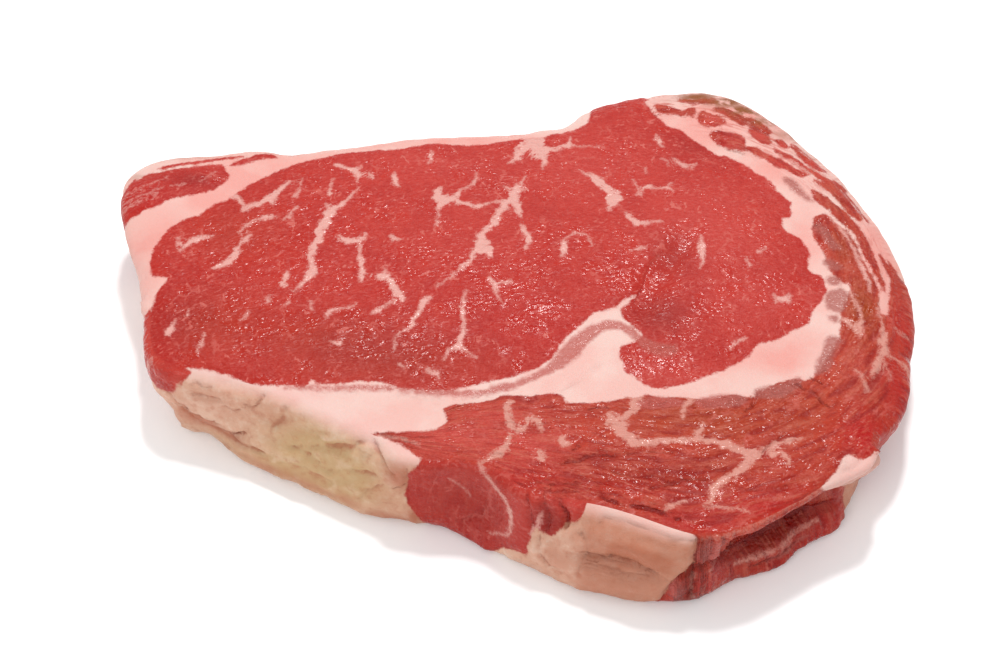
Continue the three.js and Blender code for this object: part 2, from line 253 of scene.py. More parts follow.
EYE_VEINS_READ: tuple[Course, ...] = (
    ((-59, 41, 0.45), (-60.5, 39, 0.65), (-62.2, 36.6, 0.8), (-63.4, 35, 1.2),
     (-66, 33, 0.7), (-68.5, 31.8, 0.6), (-70.3, 30.4, 0.5)),
    ((-74, 36.2, 0.7), (-72, 35, 0.8), (-70.9, 33, 0.5), (-70.4, 31, 0.4)),
    ((-62.9, 34.6, 0.8), (-63, 32.2, 0.35)),
    ((-56.3, 31.5, 0.3), (-58, 28.6, 0.45), (-59.4, 27, 0.3)),
    ((-63, 27.8, 0.75), (-66, 27.2, 0.5), (-69, 25, 0.45), (-71, 22.4, 0.3)),
    ((-68, 21.5, 0.5), (-69.6, 19.4, 0.6), (-71, 17, 0.55), (-71.2, 14.8, 0.95),
     (-72.6, 12.4, 0.7), (-74.4, 10.6, 1.1), (-76.6, 10, 0.5)),
    ((-78, 21, 0.45), (-80.6, 20.2, 0.65), (-83, 19.2, 0.8), (-85, 17, 0.6), (-86, 15.8, 0.3)),
    ((-86.8, 20.4, 0.4), (-86.4, 17.4, 0.5)),
    ((-55.6, 42, 0.25), (-56, 38, 0.35), (-57, 35.4, 0.45)),
    ((-40.6, 38.4, 0.25), (-43, 34.5, 0.5), (-45.4, 31.6, 0.7), (-47.4, 29.8, 1.3),
     (-48.5, 27, 1.3), (-49.5, 24, 1.3), (-50, 20.5, 1.1), (-51, 17, 0.95),
     (-51.8, 13.6, 0.85), (-51.5, 10.6, 0.65), (-51.2, 7.8, 1.2), (-52.4, 5.6, 1),
     (-54, 3.6, 0.5), (-55.6, 1.8, 0.3)),
    ((-48.6, 32.6, 0.35), (-48.1, 30.4, 0.5)),
    ((-46.5, 47, 0.6), (-44, 46, 0.6), (-41.4, 44.8, 0.95), (-40.8, 42.6, 0.6), (-41, 41, 0.3)),
    ((-40.1, 46.4, 0.3), (-40.6, 44.8, 0.5)),
    ((-47.4, 41.6, 0.25), (-48, 38.6, 0.5), (-48, 36, 0.6)),
    ((-30.8, 44, 0.3), (-31.2, 41.4, 0.7), (-30.2, 39, 0.5)),
    ((-37.8, 44, 0.3), (-37, 42.2, 0.5)),
    ((-21.4, 51.6, 0.35), (-21.5, 49.6, 0.6), (-21.9, 47.4, 0.3)),
    ((-18.8, 38.4, 0.4), (-19.6, 35.6, 1.1), (-18.4, 33.6, 1.6), (-19, 30.4, 0.5),
     (-19.2, 26.6, 0.3), (-19.4, 24.4, 0.45)),
    ((-19, 34.6, 1.3), (-16.6, 34, 1), (-14.6, 34.6, 1), (-13.4, 37.2, 0.4)),
    ((-14.6, 34, 0.8), (-13.4, 32.6, 0.7), (-11, 32, 0.6), (-9, 31.4, 0.85), (-7, 32, 0.5),
     (-5, 33, 0.4), (-3, 33, 0.45)),
    ((-9.2, 44, 0.25), (-9.3, 41.6, 0.4), (-10, 39.6, 0.4), (-12, 38, 0.3)),
    ((-45, 21.2, 0.5), (-43.6, 19.6, 0.8), (-42, 18.9, 1.05), (-40.2, 18.9, 1.05),
     (-39, 19.6, 0.8), (-38.3, 21.8, 0.4)),
    ((-31.2, 20.4, 0.4), (-30.2, 19.2, 0.6), (-28.6, 19, 0.3)),
    ((-39.2, 16.6, 0.4), (-38.8, 12, 0.7), (-38.5, 9, 0.75), (-38, 6.6, 0.8), (-38.5, 4.8, 0.4)),
    ((-34.2, 6.6, 0.9), (-32, 6.3, 1.05), (-31, 4.5, 0.75), (-29.5, 2, 0.95), (-28.5, 0, 1.2),
     (-28, -1.4, 1.05)),
    ((-32.3, 8.8, 0.3), (-32.8, 6.8, 0.6)),
    ((-20.8, -1.4, 0.5), (-22, -1.6, 0.95), (-22.6, -3.4, 0.7), (-23.2, -5.4, 0.6),
     (-24.6, -7.6, 0.7), (-25.2, -9.6, 0.7), (-26, -11, 0.4), (-29, -13, 0.3), (-29.3, -17, 0.3)),
    ((-11.4, 1.2, 0.3), (-12, -2, 0.45), (-12.5, -4.6, 0.5), (-12, -8, 0.5), (-12, -11, 0.6),
     (-12.8, -14, 0.75), (-13, -16.4, 0.95)),
    ((-13, -16.6, 0.6), (-15.8, -17.4, 0.4), (-16.8, -20.2, 0.3)),
    ((-12.6, -16.6, 0.5), (-10.6, -18.8, 0.35), (-9, -20, 0.3)),
    ((1.5, 38.6, 0.8), (1, 35.6, 1.4), (0.2, 33.2, 1.5), (-1.5, 31.8, 0.9), (-3, 29, 0.85),
     (-4, 26, 0.95), (-5, 24, 0.8), (-7, 21.8, 0.8), (-8, 19.4, 1.1), (-7.6, 16.6, 1.8),
     (-9.6, 14.2, 0.9), (-10.6, 11.6, 0.75), (-13, 9, 0.5), (-15, 6.6, 0.4), (-17, 4.6, 0.3),
     (-19, 3, 0.25)),
    ((-6.4, 16, 1.5), (-5.6, 14, 0.9), (-5, 12.8, 0.4)),
    ((0.4, 33.2, 1), (1.8, 31, 0.95), (2.3, 28.6, 0.7), (2.5, 27, 0.3)),
    ((-3.2, 33.4, 0.5), (-1, 33, 0.9)),
    ((-1.6, 38.6, 0.35), (0, 37, 0.6), (1, 35.8, 1)),
    ((3.6, 42.4, 0.3), (3, 40.2, 0.5), (2.4, 38.4, 0.6)),
    ((4, 37.8, 0.3), (2, 37.6, 0.5)),
    ((2.6, 24, 0.35), (3.5, 22, 0.7), (4.6, 19.8, 1), (4.3, 17.6, 0.75), (3.8, 16, 0.45)),
    ((18, 45.6, 0.25), (20, 43.9, 0.5), (22.4, 42, 1.1), (24.6, 39.4, 1.05), (26, 37, 1.2),
     (27.2, 34.6, 1.8), (27, 32.6, 1.4), (26, 31, 0.7), (25.5, 29.4, 0.25)),
    ((28.8, 36.4, 0.6), (27.4, 35, 1)),
    ((29.8, 28.6, 0.35), (31.4, 26.6, 0.7), (33.6, 24.5, 0.85), (36, 25, 0.45), (39.6, 25.3, 0.3)),
    ((33.2, 35.6, 0.4), (34.6, 36.6, 0.4), (35.6, 37.8, 0.6), (36.6, 38.4, 0.65),
     (38.6, 37.7, 0.35), (40.6, 37.8, 0.4), (41.8, 38, 0.65)),
    ((42.5, 39.8, 0.25), (41.8, 38, 0.5), (42.6, 36.6, 0.25)),
    ((32.4, 41, 0.2), (33.4, 38.6, 0.3), (34.2, 35.2, 0.4)),
    ((36, 46, 0.25), (36.1, 43.6, 0.3)),
    ((39.4, 58.6, 0.35), (40, 56.6, 0.75), (40.9, 54.4, 0.35)),
    ((43.6, 49.8, 0.35), (45, 48.2, 0.45), (47, 46.4, 0.55), (48, 45.4, 0.3)),
    ((40.4, 49.2, 0.25), (42, 48.2, 0.3), (42.6, 46.8, 0.3)),
    ((47.6, 46.8, 0.4), (49.8, 48.1, 0.25)),
    ((13.5, 18.2, 0.5), (13.7, 16, 0.85), (13.5, 14, 0.75), (13, 12.8, 0.4)),
    ((14, 18.6, 0.3), (15.4, 20.5, 0.4), (17, 21.4, 0.45), (19.4, 20.8, 0.35), (20.5, 19, 0.3),
     (20.8, 17, 0.3)),
    ((-5.4, 5.2, 0.6), (-4.3, 3.6, 1.05), (-3, 3.8, 0.5), (0, 4.2, 0.4)),
    ((-4.2, 3, 0.6), (-3.5, 0, 0.4), (-2.4, -3.2, 0.25)),
    ((67, 0.9, 0.3), (68.4, 0, 0.75), (70.2, 0, 0.75), (71, 1.6, 0.3)),
    ((67.3, -1.4, 0.25), (68.6, -0.2, 0.7), (70.2, -0.2, 0.7), (70.9, -1.5, 0.25)),
    ((31, 15, 0.3), (33, 15.3, 0.5), (34.6, 16, 0.35)),
    ((-46.6, -7.2, 0.45), (-46, -5.3, 0.6), (-44, -4.6, 0.4), (-41.5, -4, 0.4), (-39.6, -2.6, 0.3)),
    ((-35, -6, 0.35), (-34, -4.6, 0.6), (-31.4, -3, 0.4), (-30.4, -2, 0.3)),
    ((-86.6, -12.2, 0.7), (-86.2, -11, 0.9), (-85.4, -9, 0.45), (-85, -7.2, 0.25)),
    ((-78.6, -18.2, 0.35), (-77.8, -15.4, 0.45), (-77.2, -12.4, 0.3)),
    ((-82.1, -6, 0.6), (-81.5, -4.2, 0.25)),
    ((-58.6, 4.4, 0.9), (-57.8, 6.6, 0.8), (-57.3, 8.2, 0.35)),
    ((-61.8, 0.2, 0.3), (-62, -1.2, 0.55)),
    ((-45.2, -15, 0.25), (-43.2, -15.4, 0.75)),
    ((-68.8, -7.5, 0.3), (-67.5, -6.6, 0.35), (-66.8, -4.8, 0.3)),
    ((-57.6, -3.4, 0.3), (-56.8, -1.8, 0.4)),
    ((-20.6, -23.5, 0.4), (-18.6, -24.8, 0.6), (-18, -25.8, 0.4)),
    ((-28, -21.8, 0.5), (-27, -22.6, 0.5)),
    ((49.6, 20, 0.3), (49.2, 16, 0.75), (49.5, 12.4, 0.7), (48.8, 9.4, 0.3)),
    ((55, -16.2, 0.4), (57.4, -13.4, 0.5), (59, -13, 0.4)),
    ((-50.6, -4.4, 0.45), (-50.9, -2, 0.3)),
    ((64, 15, 0.4), (65.6, 16.2, 0.3)),
    ((60.6, 13, 0.35), (61.4, 10.6, 0.4)),
    ((-0.6, 47.4, 0.3), (1.4, 49.4, 1), (3, 52.4, 1.6), (6, 55.4, 2.6), (6.6, 58.6, 3.4),
     (4, 60, 2.6)),
    ((8.5, 45.2, 0.3), (8.9, 48, 0.7), (8.4, 51, 1.3), (7.6, 54.4, 2)),
    ((5.6, 49.4, 0.3), (6, 51.8, 0.8), (6.2, 54, 1.6)),
    ((9.4, 53, 1.4), (12, 52.6, 0.55), (13.4, 54, 0.5), (15.6, 54.8, 0.7), (16.2, 57.4, 0.4)),
    ((15.6, 54.8, 0.5), (19.4, 54.2, 0.25), (25, 54, 0.25)),
)
EYE_VEINS_SHIFT = Shift(0.2, 0.2)
EYE_VEINS: tuple[Course, ...] = tuple(
    settle(course, (EYE_VEINS_SHIFT,)) for course in EYE_VEINS_READ
)

CAP_VEINS: tuple[Course, ...] = (
    ((-0.4, -33.6, 1), (-0.8, -36.6, 0.9), (-0.2, -40, 0.85), (1.2, -42.2, 0.8), (3, -42, 0.6),
     (4.4, -39.2, 0.8), (5.6, -38.6, 0.8), (7, -41, 0.6), (7.4, -43.2, 0.3)),
    ((12.4, -45.8, 1.1), (13, -46.6, 1)),
    ((30.8, -32, 2), (30, -36, 1.2), (28.2, -38.4, 0.9), (26, -39.8, 0.8)),
    ((24.2, -38.6, 1.4), (25.6, -41, 1.9), (27.4, -44, 1.5), (29.2, -46.6, 1.3), (31, -47.3, 1),
     (35, -46.7, 0.8), (40, -46.4, 0.8), (45, -46, 0.85), (50, -46.8, 0.9), (53, -48.3, 1.1),
     (57, -50, 1.4), (59, -51, 1.3)),
    ((59, -50.8, 1.3), (56.6, -53, 1.3), (55.4, -55, 1.1), (52, -57, 0.9), (49, -59.6, 1),
     (47.8, -62, 0.9), (47.3, -64, 0.6)),
    ((44.4, -31.6, 1.2), (42.6, -35, 0.7), (42, -38.6, 0.6)),
    ((46.6, -41, 0.6), (45.6, -44, 0.7), (45, -46, 0.7)),
    ((59.6, -50.2, 0.8), (62, -48.2, 0.6), (66, -46.6, 0.8), (70, -45.4, 0.4)),
    ((63, -50.4, 0.8), (65.6, -50.2, 0.9), (66.6, -53.6, 0.5)),
    ((-0.6, -45, 0.7), (-1.4, -47.6, 1), (-2.6, -49, 1), (-5, -50.4, 0.6), (-7.4, -51.9, 0.45)),
    ((6.6, -48.6, 0.6), (7.6, -51, 0.9)),
    ((36.6, -66, 0.5), (39, -64.6, 0.6), (41.4, -64, 0.4)),
    ((46, -65.6, 0.4), (52, -65.5, 0.4), (56, -67, 0.4)),
    ((-34, -44, 0.5), (-28, -44.2, 0.5), (-22, -46.4, 0.3)),
    ((72, 51.6, 0.3), (76, 48, 0.5), (80, 44.2, 0.3)), ((84, 28, 0.3), (87, 22.6, 0.5),
     (89.4, 15.6, 0.5), (91, 9, 0.6), (92.2, 3, 0.5)),
    ((84.2, 5.6, 0.6), (86.2, 2.6, 0.5), (87.6, -1.2, 0.5), (88.6, -5, 0.5), (88.2, -10, 0.8),
     (87.6, -12.6, 0.4)),
    ((83.6, -6.4, 0.6), (85.6, -8.2, 0.6), (87, -10.4, 0.7)),
    ((93.4, -3, 0.4), (93.8, -8, 0.5), (94, -12, 0.9), (93.4, -16, 1.1), (92.2, -20, 0.9),
     (90.4, -23.4, 0.7), (89.6, -25.6, 0.4)),
    ((94, -17, 0.8), (95.6, -18, 0.4), (97.6, -18.6, 0.5), (98.4, -21, 0.3), (98.4, -25, 0.25)),
    ((93.2, -19.6, 0.5), (94, -22.6, 0.3), (94, -25.4, 0.2)),
    ((97.4, -8.4, 0.3), (99.2, -9.6, 0.35)),
    ((85.6, -23.4, 0.3), (87, -26, 0.5), (88.2, -30, 0.4)),
    ((58, -71.6, 0.4), (63, -69.6, 0.5), (70, -65.4, 0.6), (77, -60.8, 0.9), (80.4, -57, 1.4),
     (82.6, -53.6, 2.2), (86, -53.6, 2.6)),
)

TAIL_VEINS: tuple[Course, ...] = (
    ((-102, 36, 0.25), (-98, 38.6, 0.2), (-94, 40.6, 0.2), (-91, 42.4, 0.12)),
    ((-102.4, 33.4, 0.3), (-98, 35.6, 0.25), (-95, 36.6, 0.2), (-92, 38, 0.12)),
    ((-101, 31.6, 0.35), (-97, 34, 0.2)),
    ((-89.6, 38.8, 0.15), (-86.2, 39.2, 0.22)),
    ((-82, 40.4, 0.12), (-80, 43.2, 0.14), (-78.6, 44.6, 0.1)),
    ((-94.6, 33.9, 0.25), (-93.6, 35.6, 0.2)),
)

# ---------------------------------------------------------------------------
# The side wall unrolled: the way round its foot from the front left corner,
# and the height, in millimetres.
# ---------------------------------------------------------------------------

WALL_LEAN: tuple[Outline, ...] = (
    ((-11.5, 30), (-11, 22), (-12, 16), (-14, 10), (-13, 4), (-9, 8), (-5, 14), (-2, 16),
     (2, 15.6), (4.6, 15.6), (7, 17.4), (9, 20.6), (9, 30)),
    ((75.5, 30), (74.6, 25.6), (73, 22.6), (71.6, 20.4), (71, 17), (70, 13), (70.9, 9.6),
     (73, 6), (75.4, 2), (77.4, -2), (92, -2), (95, 1.4), (98, 4.4),
     (101, 6), (104.2, 6.6), (104.6, 10), (105, 14.5), (105.6, 17), (106.8, 16),
     (108.5, 15.4), (110.5, 16), (111.5, 18), (113, 20), (115.2, 20.6), (116.2, 22.5),
     (117, 26), (116, 30)),
    ((136.5, -2), (138, 4), (139.3, 9), (141.3, 13), (143.8, 15.4), (144.4, 19), (144.8, 23.6),
     (146, 30), (175, 30), (177.6, 25.2), (180.4, 22.8), (183, 20), (185.6, 16), (188.8, 12),
     (188.2, 7.5), (189, 3), (190, -2)),
    ((188.6, 30), (190, 24.6), (192.6, 20), (195.6, 15), (198, 10), (199.4, 5), (201, -2),
     (216, -2), (216, 30)),
)

WALL_VEINS: tuple[Course, ...] = (
    ((81.6, 20, 0.1), (84, 17.6, 0.2), (86.6, 15, 0.1)),
    ((88.5, 24.8, 0.4), (91.5, 22.8, 0.45), (94.5, 20.4, 0.6), (97.4, 18, 0.7),
     (98.8, 15.2, 0.7), (99, 12.2, 0.5), (98.4, 9.8, 0.4)),
    ((98.4, 9.8, 0.4), (96, 8.6, 0.35), (93, 7.2, 0.3)),
    ((106.2, 21, 0.3), (106, 17.6, 0.6), (105.2, 14.6, 0.9)),
    ((2.4, 24, 0.3), (2, 20.6, 0.5)),
    ((-4, 22, 0.25), (-4.6, 13, 0.4), (-3.6, 6, 0.3)),
    ((146.4, 2, 0.15), (146.8, 8, 0.2)), ((149, 3, 0.15), (149, 9, 0.2)),
    ((156, 7.6, 0.3), (162, 7, 0.45), (168, 6.6, 0.35), (174, 7.2, 0.4), (181, 7.4, 0.3)),
    ((169.6, 5.6, 0.25), (170.4, 4.6, 0.3), (171.8, 4.8, 0.3), (171.6, 5.8, 0.25)),
    ((144.2, 13.6, 0.4), (144, 9, 0.3), (144.2, 3.4, 0.3)),
    ((150, 21.6, 0.2), (160, 22.6, 0.15), (172, 23.4, 0.15), (182, 24, 0.3)),
    ((146, 24.4, 0.25), (156, 25, 0.2), (170, 25.4, 0.2), (182, 25.2, 0.4)),
    ((148, 12.4, 0.25), (152, 13, 0.3), (157, 12.2, 0.25)),
)


@dataclass(frozen=True)
class Crease:
    """A sunk line of the surface.

    Attributes:
        course: Its way, in plan on the cut face or unrolled on the wall, with half widths.
        depth: How far its floor lies under the surface, in millimetres.
        step: How much higher the left-hand side stands than the right, in millimetres.
        gloom: How dark its floor is painted, from 0 to 1, as shade in the crease.
    """

    course: Course
    depth: float
    step: float = 0.0
    gloom: float = 0.5


# Creases of the cut face; the last number of each is how much painted shade darkens its floor.
TOP_CREASES: tuple[Crease, ...] = (
    Crease(((31.4, -1.6, 0.4), (33, 2, 0.5), (34.2, 6, 0.5), (35.6, 10, 0.5), (38.6, 14, 0.4)),
           0.3, 0.25, 0.3),
    Crease(((12, -52.2, 0.6), (15, -51.6, 0.9), (18, -50.8, 0.9), (21, -50.4, 0.8),
            (25.6, -50.6, 0.5)), 0.8, 0.3, 0.7),
    Crease(((15, -48.4, 0.8), (17.6, -46.4, 0.7)), 0.8, 0, 0.7),
    Crease(((5, -57.4, 0.6), (10, -58, 0.8), (15, -58, 0.9), (19.6, -58.9, 0.9),
            (22.4, -58, 0.5)), 0.8, 0.35, 0.6),
    Crease(((21, -61.8, 0.6), (25, -63.8, 1), (28, -65, 1.2), (32, -65.5, 1.2),
            (36, -67, 0.9), (39.6, -68.6, 0.5)), 1.1, 0.4, 0.9),
    Crease(((-2, -56.8, 0.9), (2, -57.8, 1), (6, -59, 0.8)), 0.6, 0.2, 0.5),
    Crease(((8, -60.2, 0.5), (15, -60.6, 0.7), (21, -61, 0.6)), 0.6, 0.3, 0.5),
    Crease(((28, -50.2, 0.6), (33, -49.6, 0.8), (38.6, -50, 0.6)), 0.6, 0.2, 0.5),
    Crease(((33, -60.4, 0.8), (38, -58.6, 1), (43, -57.8, 0.8), (48, -57.6, 0.5)), 0.6, 0.3, 0.5),
    Crease(((24, -55, 0.6), (30, -57, 0.7), (36, -56.4, 0.6)), 0.4, 0.2, 0.35),
    Crease(((57.6, -36.6, 0.7), (59.6, -33.6, 0.9), (61, -31.4, 0.8)), 0.9, 0.3, 0.6),
    Crease(((71, -27.2, 0.7), (74.6, -30.6, 0.8), (78.2, -34.8, 0.7)), 0.6, 0.2, 0.6),
    Crease(((74.6, -25, 0.7), (77, -27.4, 0.7)), 0.5, 0, 0.6),
    Crease(((60.6, -49.6, 0.6), (62.6, -47.2, 0.8), (66, -44.6, 0.5)), 0.6, 0.2, 0.5),
    Crease(((54, -60.6, 0.6), (60, -61, 0.8), (66, -59.6, 0.6)), 0.4, 0.2, 0.3),
    Crease(((47, -53.8, 0.6), (50, -55.2, 0.7), (53, -54.4, 0.5)), 0.4, 0, 0.4),
    Crease(((19, -36, 0.7), (21.4, -35.2, 0.9), (24, -35.4, 0.7)), 0.6, 0, 0.6),
    Crease(((56.2, 56.4, 0.5), (59, 54.2, 0.6), (63, 52.2, 0.5)), 0.5, 0, 0.45),
    Crease(((-30, -29.8, 0.5), (-22, -31.8, 0.7), (-12, -31.9, 0.7), (-5, -31, 0.5)),
           0.4, 0.3, 0.08),
    Crease(((-52, -29.9, 0.5), (-44, -30.3, 0.6), (-37.6, -30.2, 0.5)), 0.3, 0.2, 0.08),
    Crease(((22.6, -21.4, 0.5), (18, -26, 0.6), (12.6, -29.6, 0.6)), 0.4, 0.15, 0.12),
)

# Creases of the wall, unrolled; the last number of each is how much painted shade darkens its
# floor.
WALL_CREASES: tuple[Crease, ...] = (
    Crease(((12, 23.2, 0.4), (14, 22.4, 0.6), (15.6, 22.8, 0.4)), 0.6, 0, 0.35),
    Crease(((11.6, 19.4, 0.4), (15, 19.6, 0.6), (18.4, 20, 0.4)), 0.6, 0.2, 0.3),
    Crease(((19.6, 18.2, 0.4), (22, 17.8, 0.6), (23.6, 18.6, 0.4)), 0.6, 0.2, 0.35),
    Crease(((24.6, 20.4, 0.5), (26.4, 20, 0.7), (27.6, 21.6, 0.7), (28.4, 24, 0.4)), 0.5, 0.3, 0.3),
    Crease(((7, 17, 0.6), (8.6, 14.6, 0.9), (11, 12.6, 1), (14, 11.8, 1.1), (17, 11.8, 0.7)),
           1.1, 1.2, 0.8),
    Crease(((18.4, 10, 0.5), (21, 10, 0.8), (23, 10.8, 0.9), (25.6, 12, 0.5)), 0.9, 0.9, 0.8),
    Crease(((9, 11.6, 0.8), (12, 9, 1), (18, 8, 1), (25, 8.4, 0.9), (32, 9.4, 0.5)), 0.8, 0.9, 0.2),
    Crease(((13, 12.6, 0.4), (15.4, 11.4, 0.6), (17, 12.6, 0.3)), 0.5, 0.2, 0.5),
    Crease(((32.6, 16.4, 0.5), (34.4, 19, 0.7), (35.6, 23, 0.5)), 0.5, 0.3, 0.12),
    Crease(((40, 14.6, 0.5), (46, 17, 0.8), (54, 20.4, 0.8), (60, 21.4, 0.5)), 0.4, 0.3, 0.05),
    Crease(((50, 12, 0.5), (56, 15, 0.7), (63, 16.4, 0.5)), 0.45, 0.4, 0.1),
    Crease(((36, 8, 0.6), (44, 10, 0.8), (52, 9, 0.6)), 0.45, 0.3, 0.1),
    Crease(((60.6, 25.4, 0.6), (63.2, 23.6, 0.8), (65, 21.4, 0.8), (67.6, 19.4, 0.6)),
           0.9, 0.5, 0.15),
    Crease(((67.2, 14, 0.35), (69.6, 16, 0.35)), 0.4, 0, 1),
    Crease(((38, 13.6, 0.5), (42, 14.4, 0.9), (47, 13.4, 0.6)), 0.5, 0.5, 0.12),
    Crease(((46, 19.6, 0.5), (49, 19, 0.8), (54, 21, 0.7), (57, 23, 0.5)), 0.5, 0.5, 0.05),
    Crease(((59, 7.6, 0.6), (61, 11, 0.7), (65, 14.4, 0.5)), 0.5, 0.4, 0.15),
    Crease(((71.4, 22, 0.6), (71, 16, 0.7), (71.4, 11, 0.6)), 0.5, 0.3, 0.25),
    Crease(((101.6, 25, 0.6), (103, 22, 0.7), (104.6, 17, 0.5)), 0.7, 0.5, 0.35),
    Crease(((106, 24.6, 0.6), (108, 21, 0.9), (108.6, 17, 0.7)), 0.9, 0.5, 0.4),
    Crease(((109.4, 25, 0.5), (112.4, 22, 0.8), (112.6, 18.6, 0.6)), 1.3, 0.6, 0.75),
    Crease(((84.6, 6.4, 0.5), (90, 11.6, 0.5), (90.6, 15, 0.3)), 0.6, 0.2, 0.3),
    Crease(((107, 14.6, 0.5), (107.8, 10, 0.7), (110.6, 6.4, 0.6)), 0.9, 0.4, 0.25),
    Crease(((121, 21.2, 0.4), (122.2, 23.3, 0.6), (126, 23.8, 0.6), (132, 24.1, 0.6),
            (144, 24, 0.5)), 0.5, 0.3, 0.04),
    Crease(((117.6, 14, 0.8), (121, 14.4, 1.5), (125, 15, 2), (129, 15.4, 2.2), (132.4, 14.6, 1.9),
            (135.6, 13.2, 1)), 2.4, 2.2, 0.5),
    Crease(((119, 11.6, 0.6), (124, 12, 0.7), (129, 11.4, 1), (134, 11.6, 0.6)), 0.9, 0.5, 0.3),
    Crease(((118, 8.6, 0.6), (124, 9.6, 0.7), (130, 8.8, 0.5)), 0.5, 0.4, 0.15),
    Crease(((117, 18.6, 0.6), (119, 16.4, 0.7), (118, 12, 0.6), (117.4, 8, 0.5)), 0.6, 0.3, 0.12),
    Crease(((137.4, 3, 0.7), (139, 8.6, 0.9), (141.4, 13.2, 0.8)), 1, 0.5, 0.3),
    Crease(((144.6, 25, 0.6), (144.4, 20, 0.8), (144, 15.8, 0.8)), 0.9, 0.4, 0.35),
    Crease(((145, 15.6, 0.8), (149, 15, 1.2), (154, 12.4, 1.6), (159, 11, 2), (167, 10.4, 2.2),
            (177, 10.6, 2), (185, 10, 1)), 2.2, 1.2, 1),
    Crease(((160, 5.2, 0.5), (167, 5, 0.8), (176, 5.4, 0.6)), 0.7, 0.4, 0.7),
    Crease(((147.4, 24.6, 0.5), (148, 20, 0.6), (147, 16, 0.5)), 0.9, 0.2, 0.4),
    Crease(((150, 24.6, 0.5), (151, 19, 0.7), (150.4, 14, 0.6)), 0.9, 0.2, 0.5),
    Crease(((143.8, 14.4, 0.5), (144.4, 9, 0.6), (143.4, 4.4, 0.5)), 0.8, 0.2, 0.4),
)


# How far the rim and the foot lean out at lengths round the foot: length, x and y in millimetres.
RIM_LEAN: tuple[tuple[float, float, float], ...] = (
    (0, 0.5, 0.7), (6, 0.4, 0.9), (14, 0, 0), (186, 0, 0), (191, 0, 0), (195, -1.2, 0.8),
    (200, -2, 1.2), (206, -0.4, 0.2), (214, 0, 0), (226, -0.9, 0), (236, 0.8, 0),
    (250, 0.6, 0.2),
    (285, 0.8, 0.8), (300, 0.6, 1), (316, 0.6, 2.2), (330, 0.2, 2.3), (345, -0.2, 1.6), (354, 0, 1),
    (362, 0, -0.2), (368, 0, 0.8), (375, 0, 2.2), (384, 0, 1.2), (395, 0, 2.2), (405, 0, 2.6),
    (415, 0, 2), (425, 0, 1.2), (433, 0, 1), (443, 0, 1), (450, 0, 3.2), (456, 0, 3.6),
    (464, 0, 2.4), (474, 0, 2), (484, -0.4, 1.7), (496, -0.8, 0.4), (520, -0.2, 0),
    (532, 0.4, 0.4), (539, 0.5, 0.7),
)
FOOT_LEAN: tuple[tuple[float, float, float], ...] = (
    (0, 1.8, 1), (4, 0.6, 0.2), (7, -1, -1.2), (14, 0.4, 1.8), (20, 0, 0.8), (24, 0, -0.4),
    (34, 0.2, 0.2), (41, 0, 1.2), (49, 0, 0.8), (57, 0, 0.2), (65, 0, 0), (72, 0, -0.6),
    (80, 0, 0.7), (86, 0, -0.2), (92, 0, -1.6), (98, 0, 0.4), (104, 0, 0.2), (112, 0, 0),
    (130, 0, -0.7), (140, 0, -0.4), (147, 0, 0.3), (156, 0, 0.3), (161, 0.2, -0.9),
    (168, 0.8, -1.6), (174, 0, 0.2), (181, 0.2, -0.2), (188, 1.6, -1.6),
    (195, 1.4, -1.2), (204, 0.4, -0.2), (214, 0, 0), (530, 0, 0), (539, 1.8, 1),
)


# ---------------------------------------------------------------------------
# Plane geometry
# ---------------------------------------------------------------------------


def round_off(points: np.ndarray, closed: bool, parts: int) -> np.ndarray:
    """Draws a smooth line through points.

    Args:
        points: The points, one row each, with any number of columns.
        closed: Whether the last point joins the first.
        parts: How many steps replace each step.

    Returns:
        The points of the smooth line, as rows.
    """
    if closed:
        before, after = np.roll(points, 1, 0), np.roll(points, -1, 0)
        beyond = np.roll(points, -2, 0)
        start, end = points, after
    else:
        padded = np.vstack([points[:1], points, points[-1:]])
        before, start, end, beyond = padded[:-3], padded[1:-2], padded[2:-1], padded[3:]
    rows = []
    for part in range(parts):
        t = part / parts
        rows.append(
            0.5 * (2 * start + (end - before) * t
                   + (2 * before - 5 * start + 4 * end - beyond) * t * t
                   + (3 * start - before - 3 * end + beyond) * t ** 3)
        )
    line = np.stack(rows, 1).reshape(-1, points.shape[1])
    return line if closed else np.vstack([line, points[-1:]])


@dataclass
class Nearest:
    """What lies nearest to each of many points, on a line or a set of lines."""

    gap: np.ndarray
    reach: np.ndarray
    half: np.ndarray
    side: np.ndarray
    along: np.ndarray


def nearest_on(points: np.ndarray, starts: np.ndarray, ends: np.ndarray,
               by_edge: bool = False) -> Nearest:
    """Finds the nearest spot on straight steps.

    Args:
        points: The points, rows of two numbers.
        starts: Each step's start: two numbers, a half width, and a length along the line.
        ends: Each step's end, with the same columns.
        by_edge: Whether the nearest edge of a wide step counts rather than its middle.

    Returns:
        The distance, the way there, the half width, the side and the length along, for each point.
    """
    count = len(points)
    found = Nearest(np.empty(count), np.empty((count, 2)), np.empty(count), np.empty(count),
                    np.empty(count))
    step = ends[:, :2] - starts[:, :2]
    long2 = np.maximum((step ** 2).sum(1), 1e-9)
    chunk = 6000
    for low in range(0, count, chunk):
        part = points[low:low + chunk, None, :]
        rel = part - starts[None, :, :2]
        share = np.clip((rel * step).sum(2) / long2, 0, 1)
        spot = starts[None, :, :2] + share[..., None] * step
        way = spot - part
        gap = np.sqrt((way ** 2).sum(2))
        half = starts[:, 2] + share * (ends[:, 2] - starts[:, 2])
        best = np.argmin(gap - half if by_edge else gap, 1)
        rows = np.arange(len(best))
        found.gap[low:low + chunk] = gap[rows, best]
        found.reach[low:low + chunk] = way[rows, best]
        found.half[low:low + chunk] = half[rows, best]
        cross = step[best, 0] * rel[rows, best, 1] - step[best, 1] * rel[rows, best, 0]
        found.side[low:low + chunk] = np.sign(cross)
        along = starts[:, 3] + share * (ends[:, 3] - starts[:, 3])
        found.along[low:low + chunk] = along[rows, best]
    return found


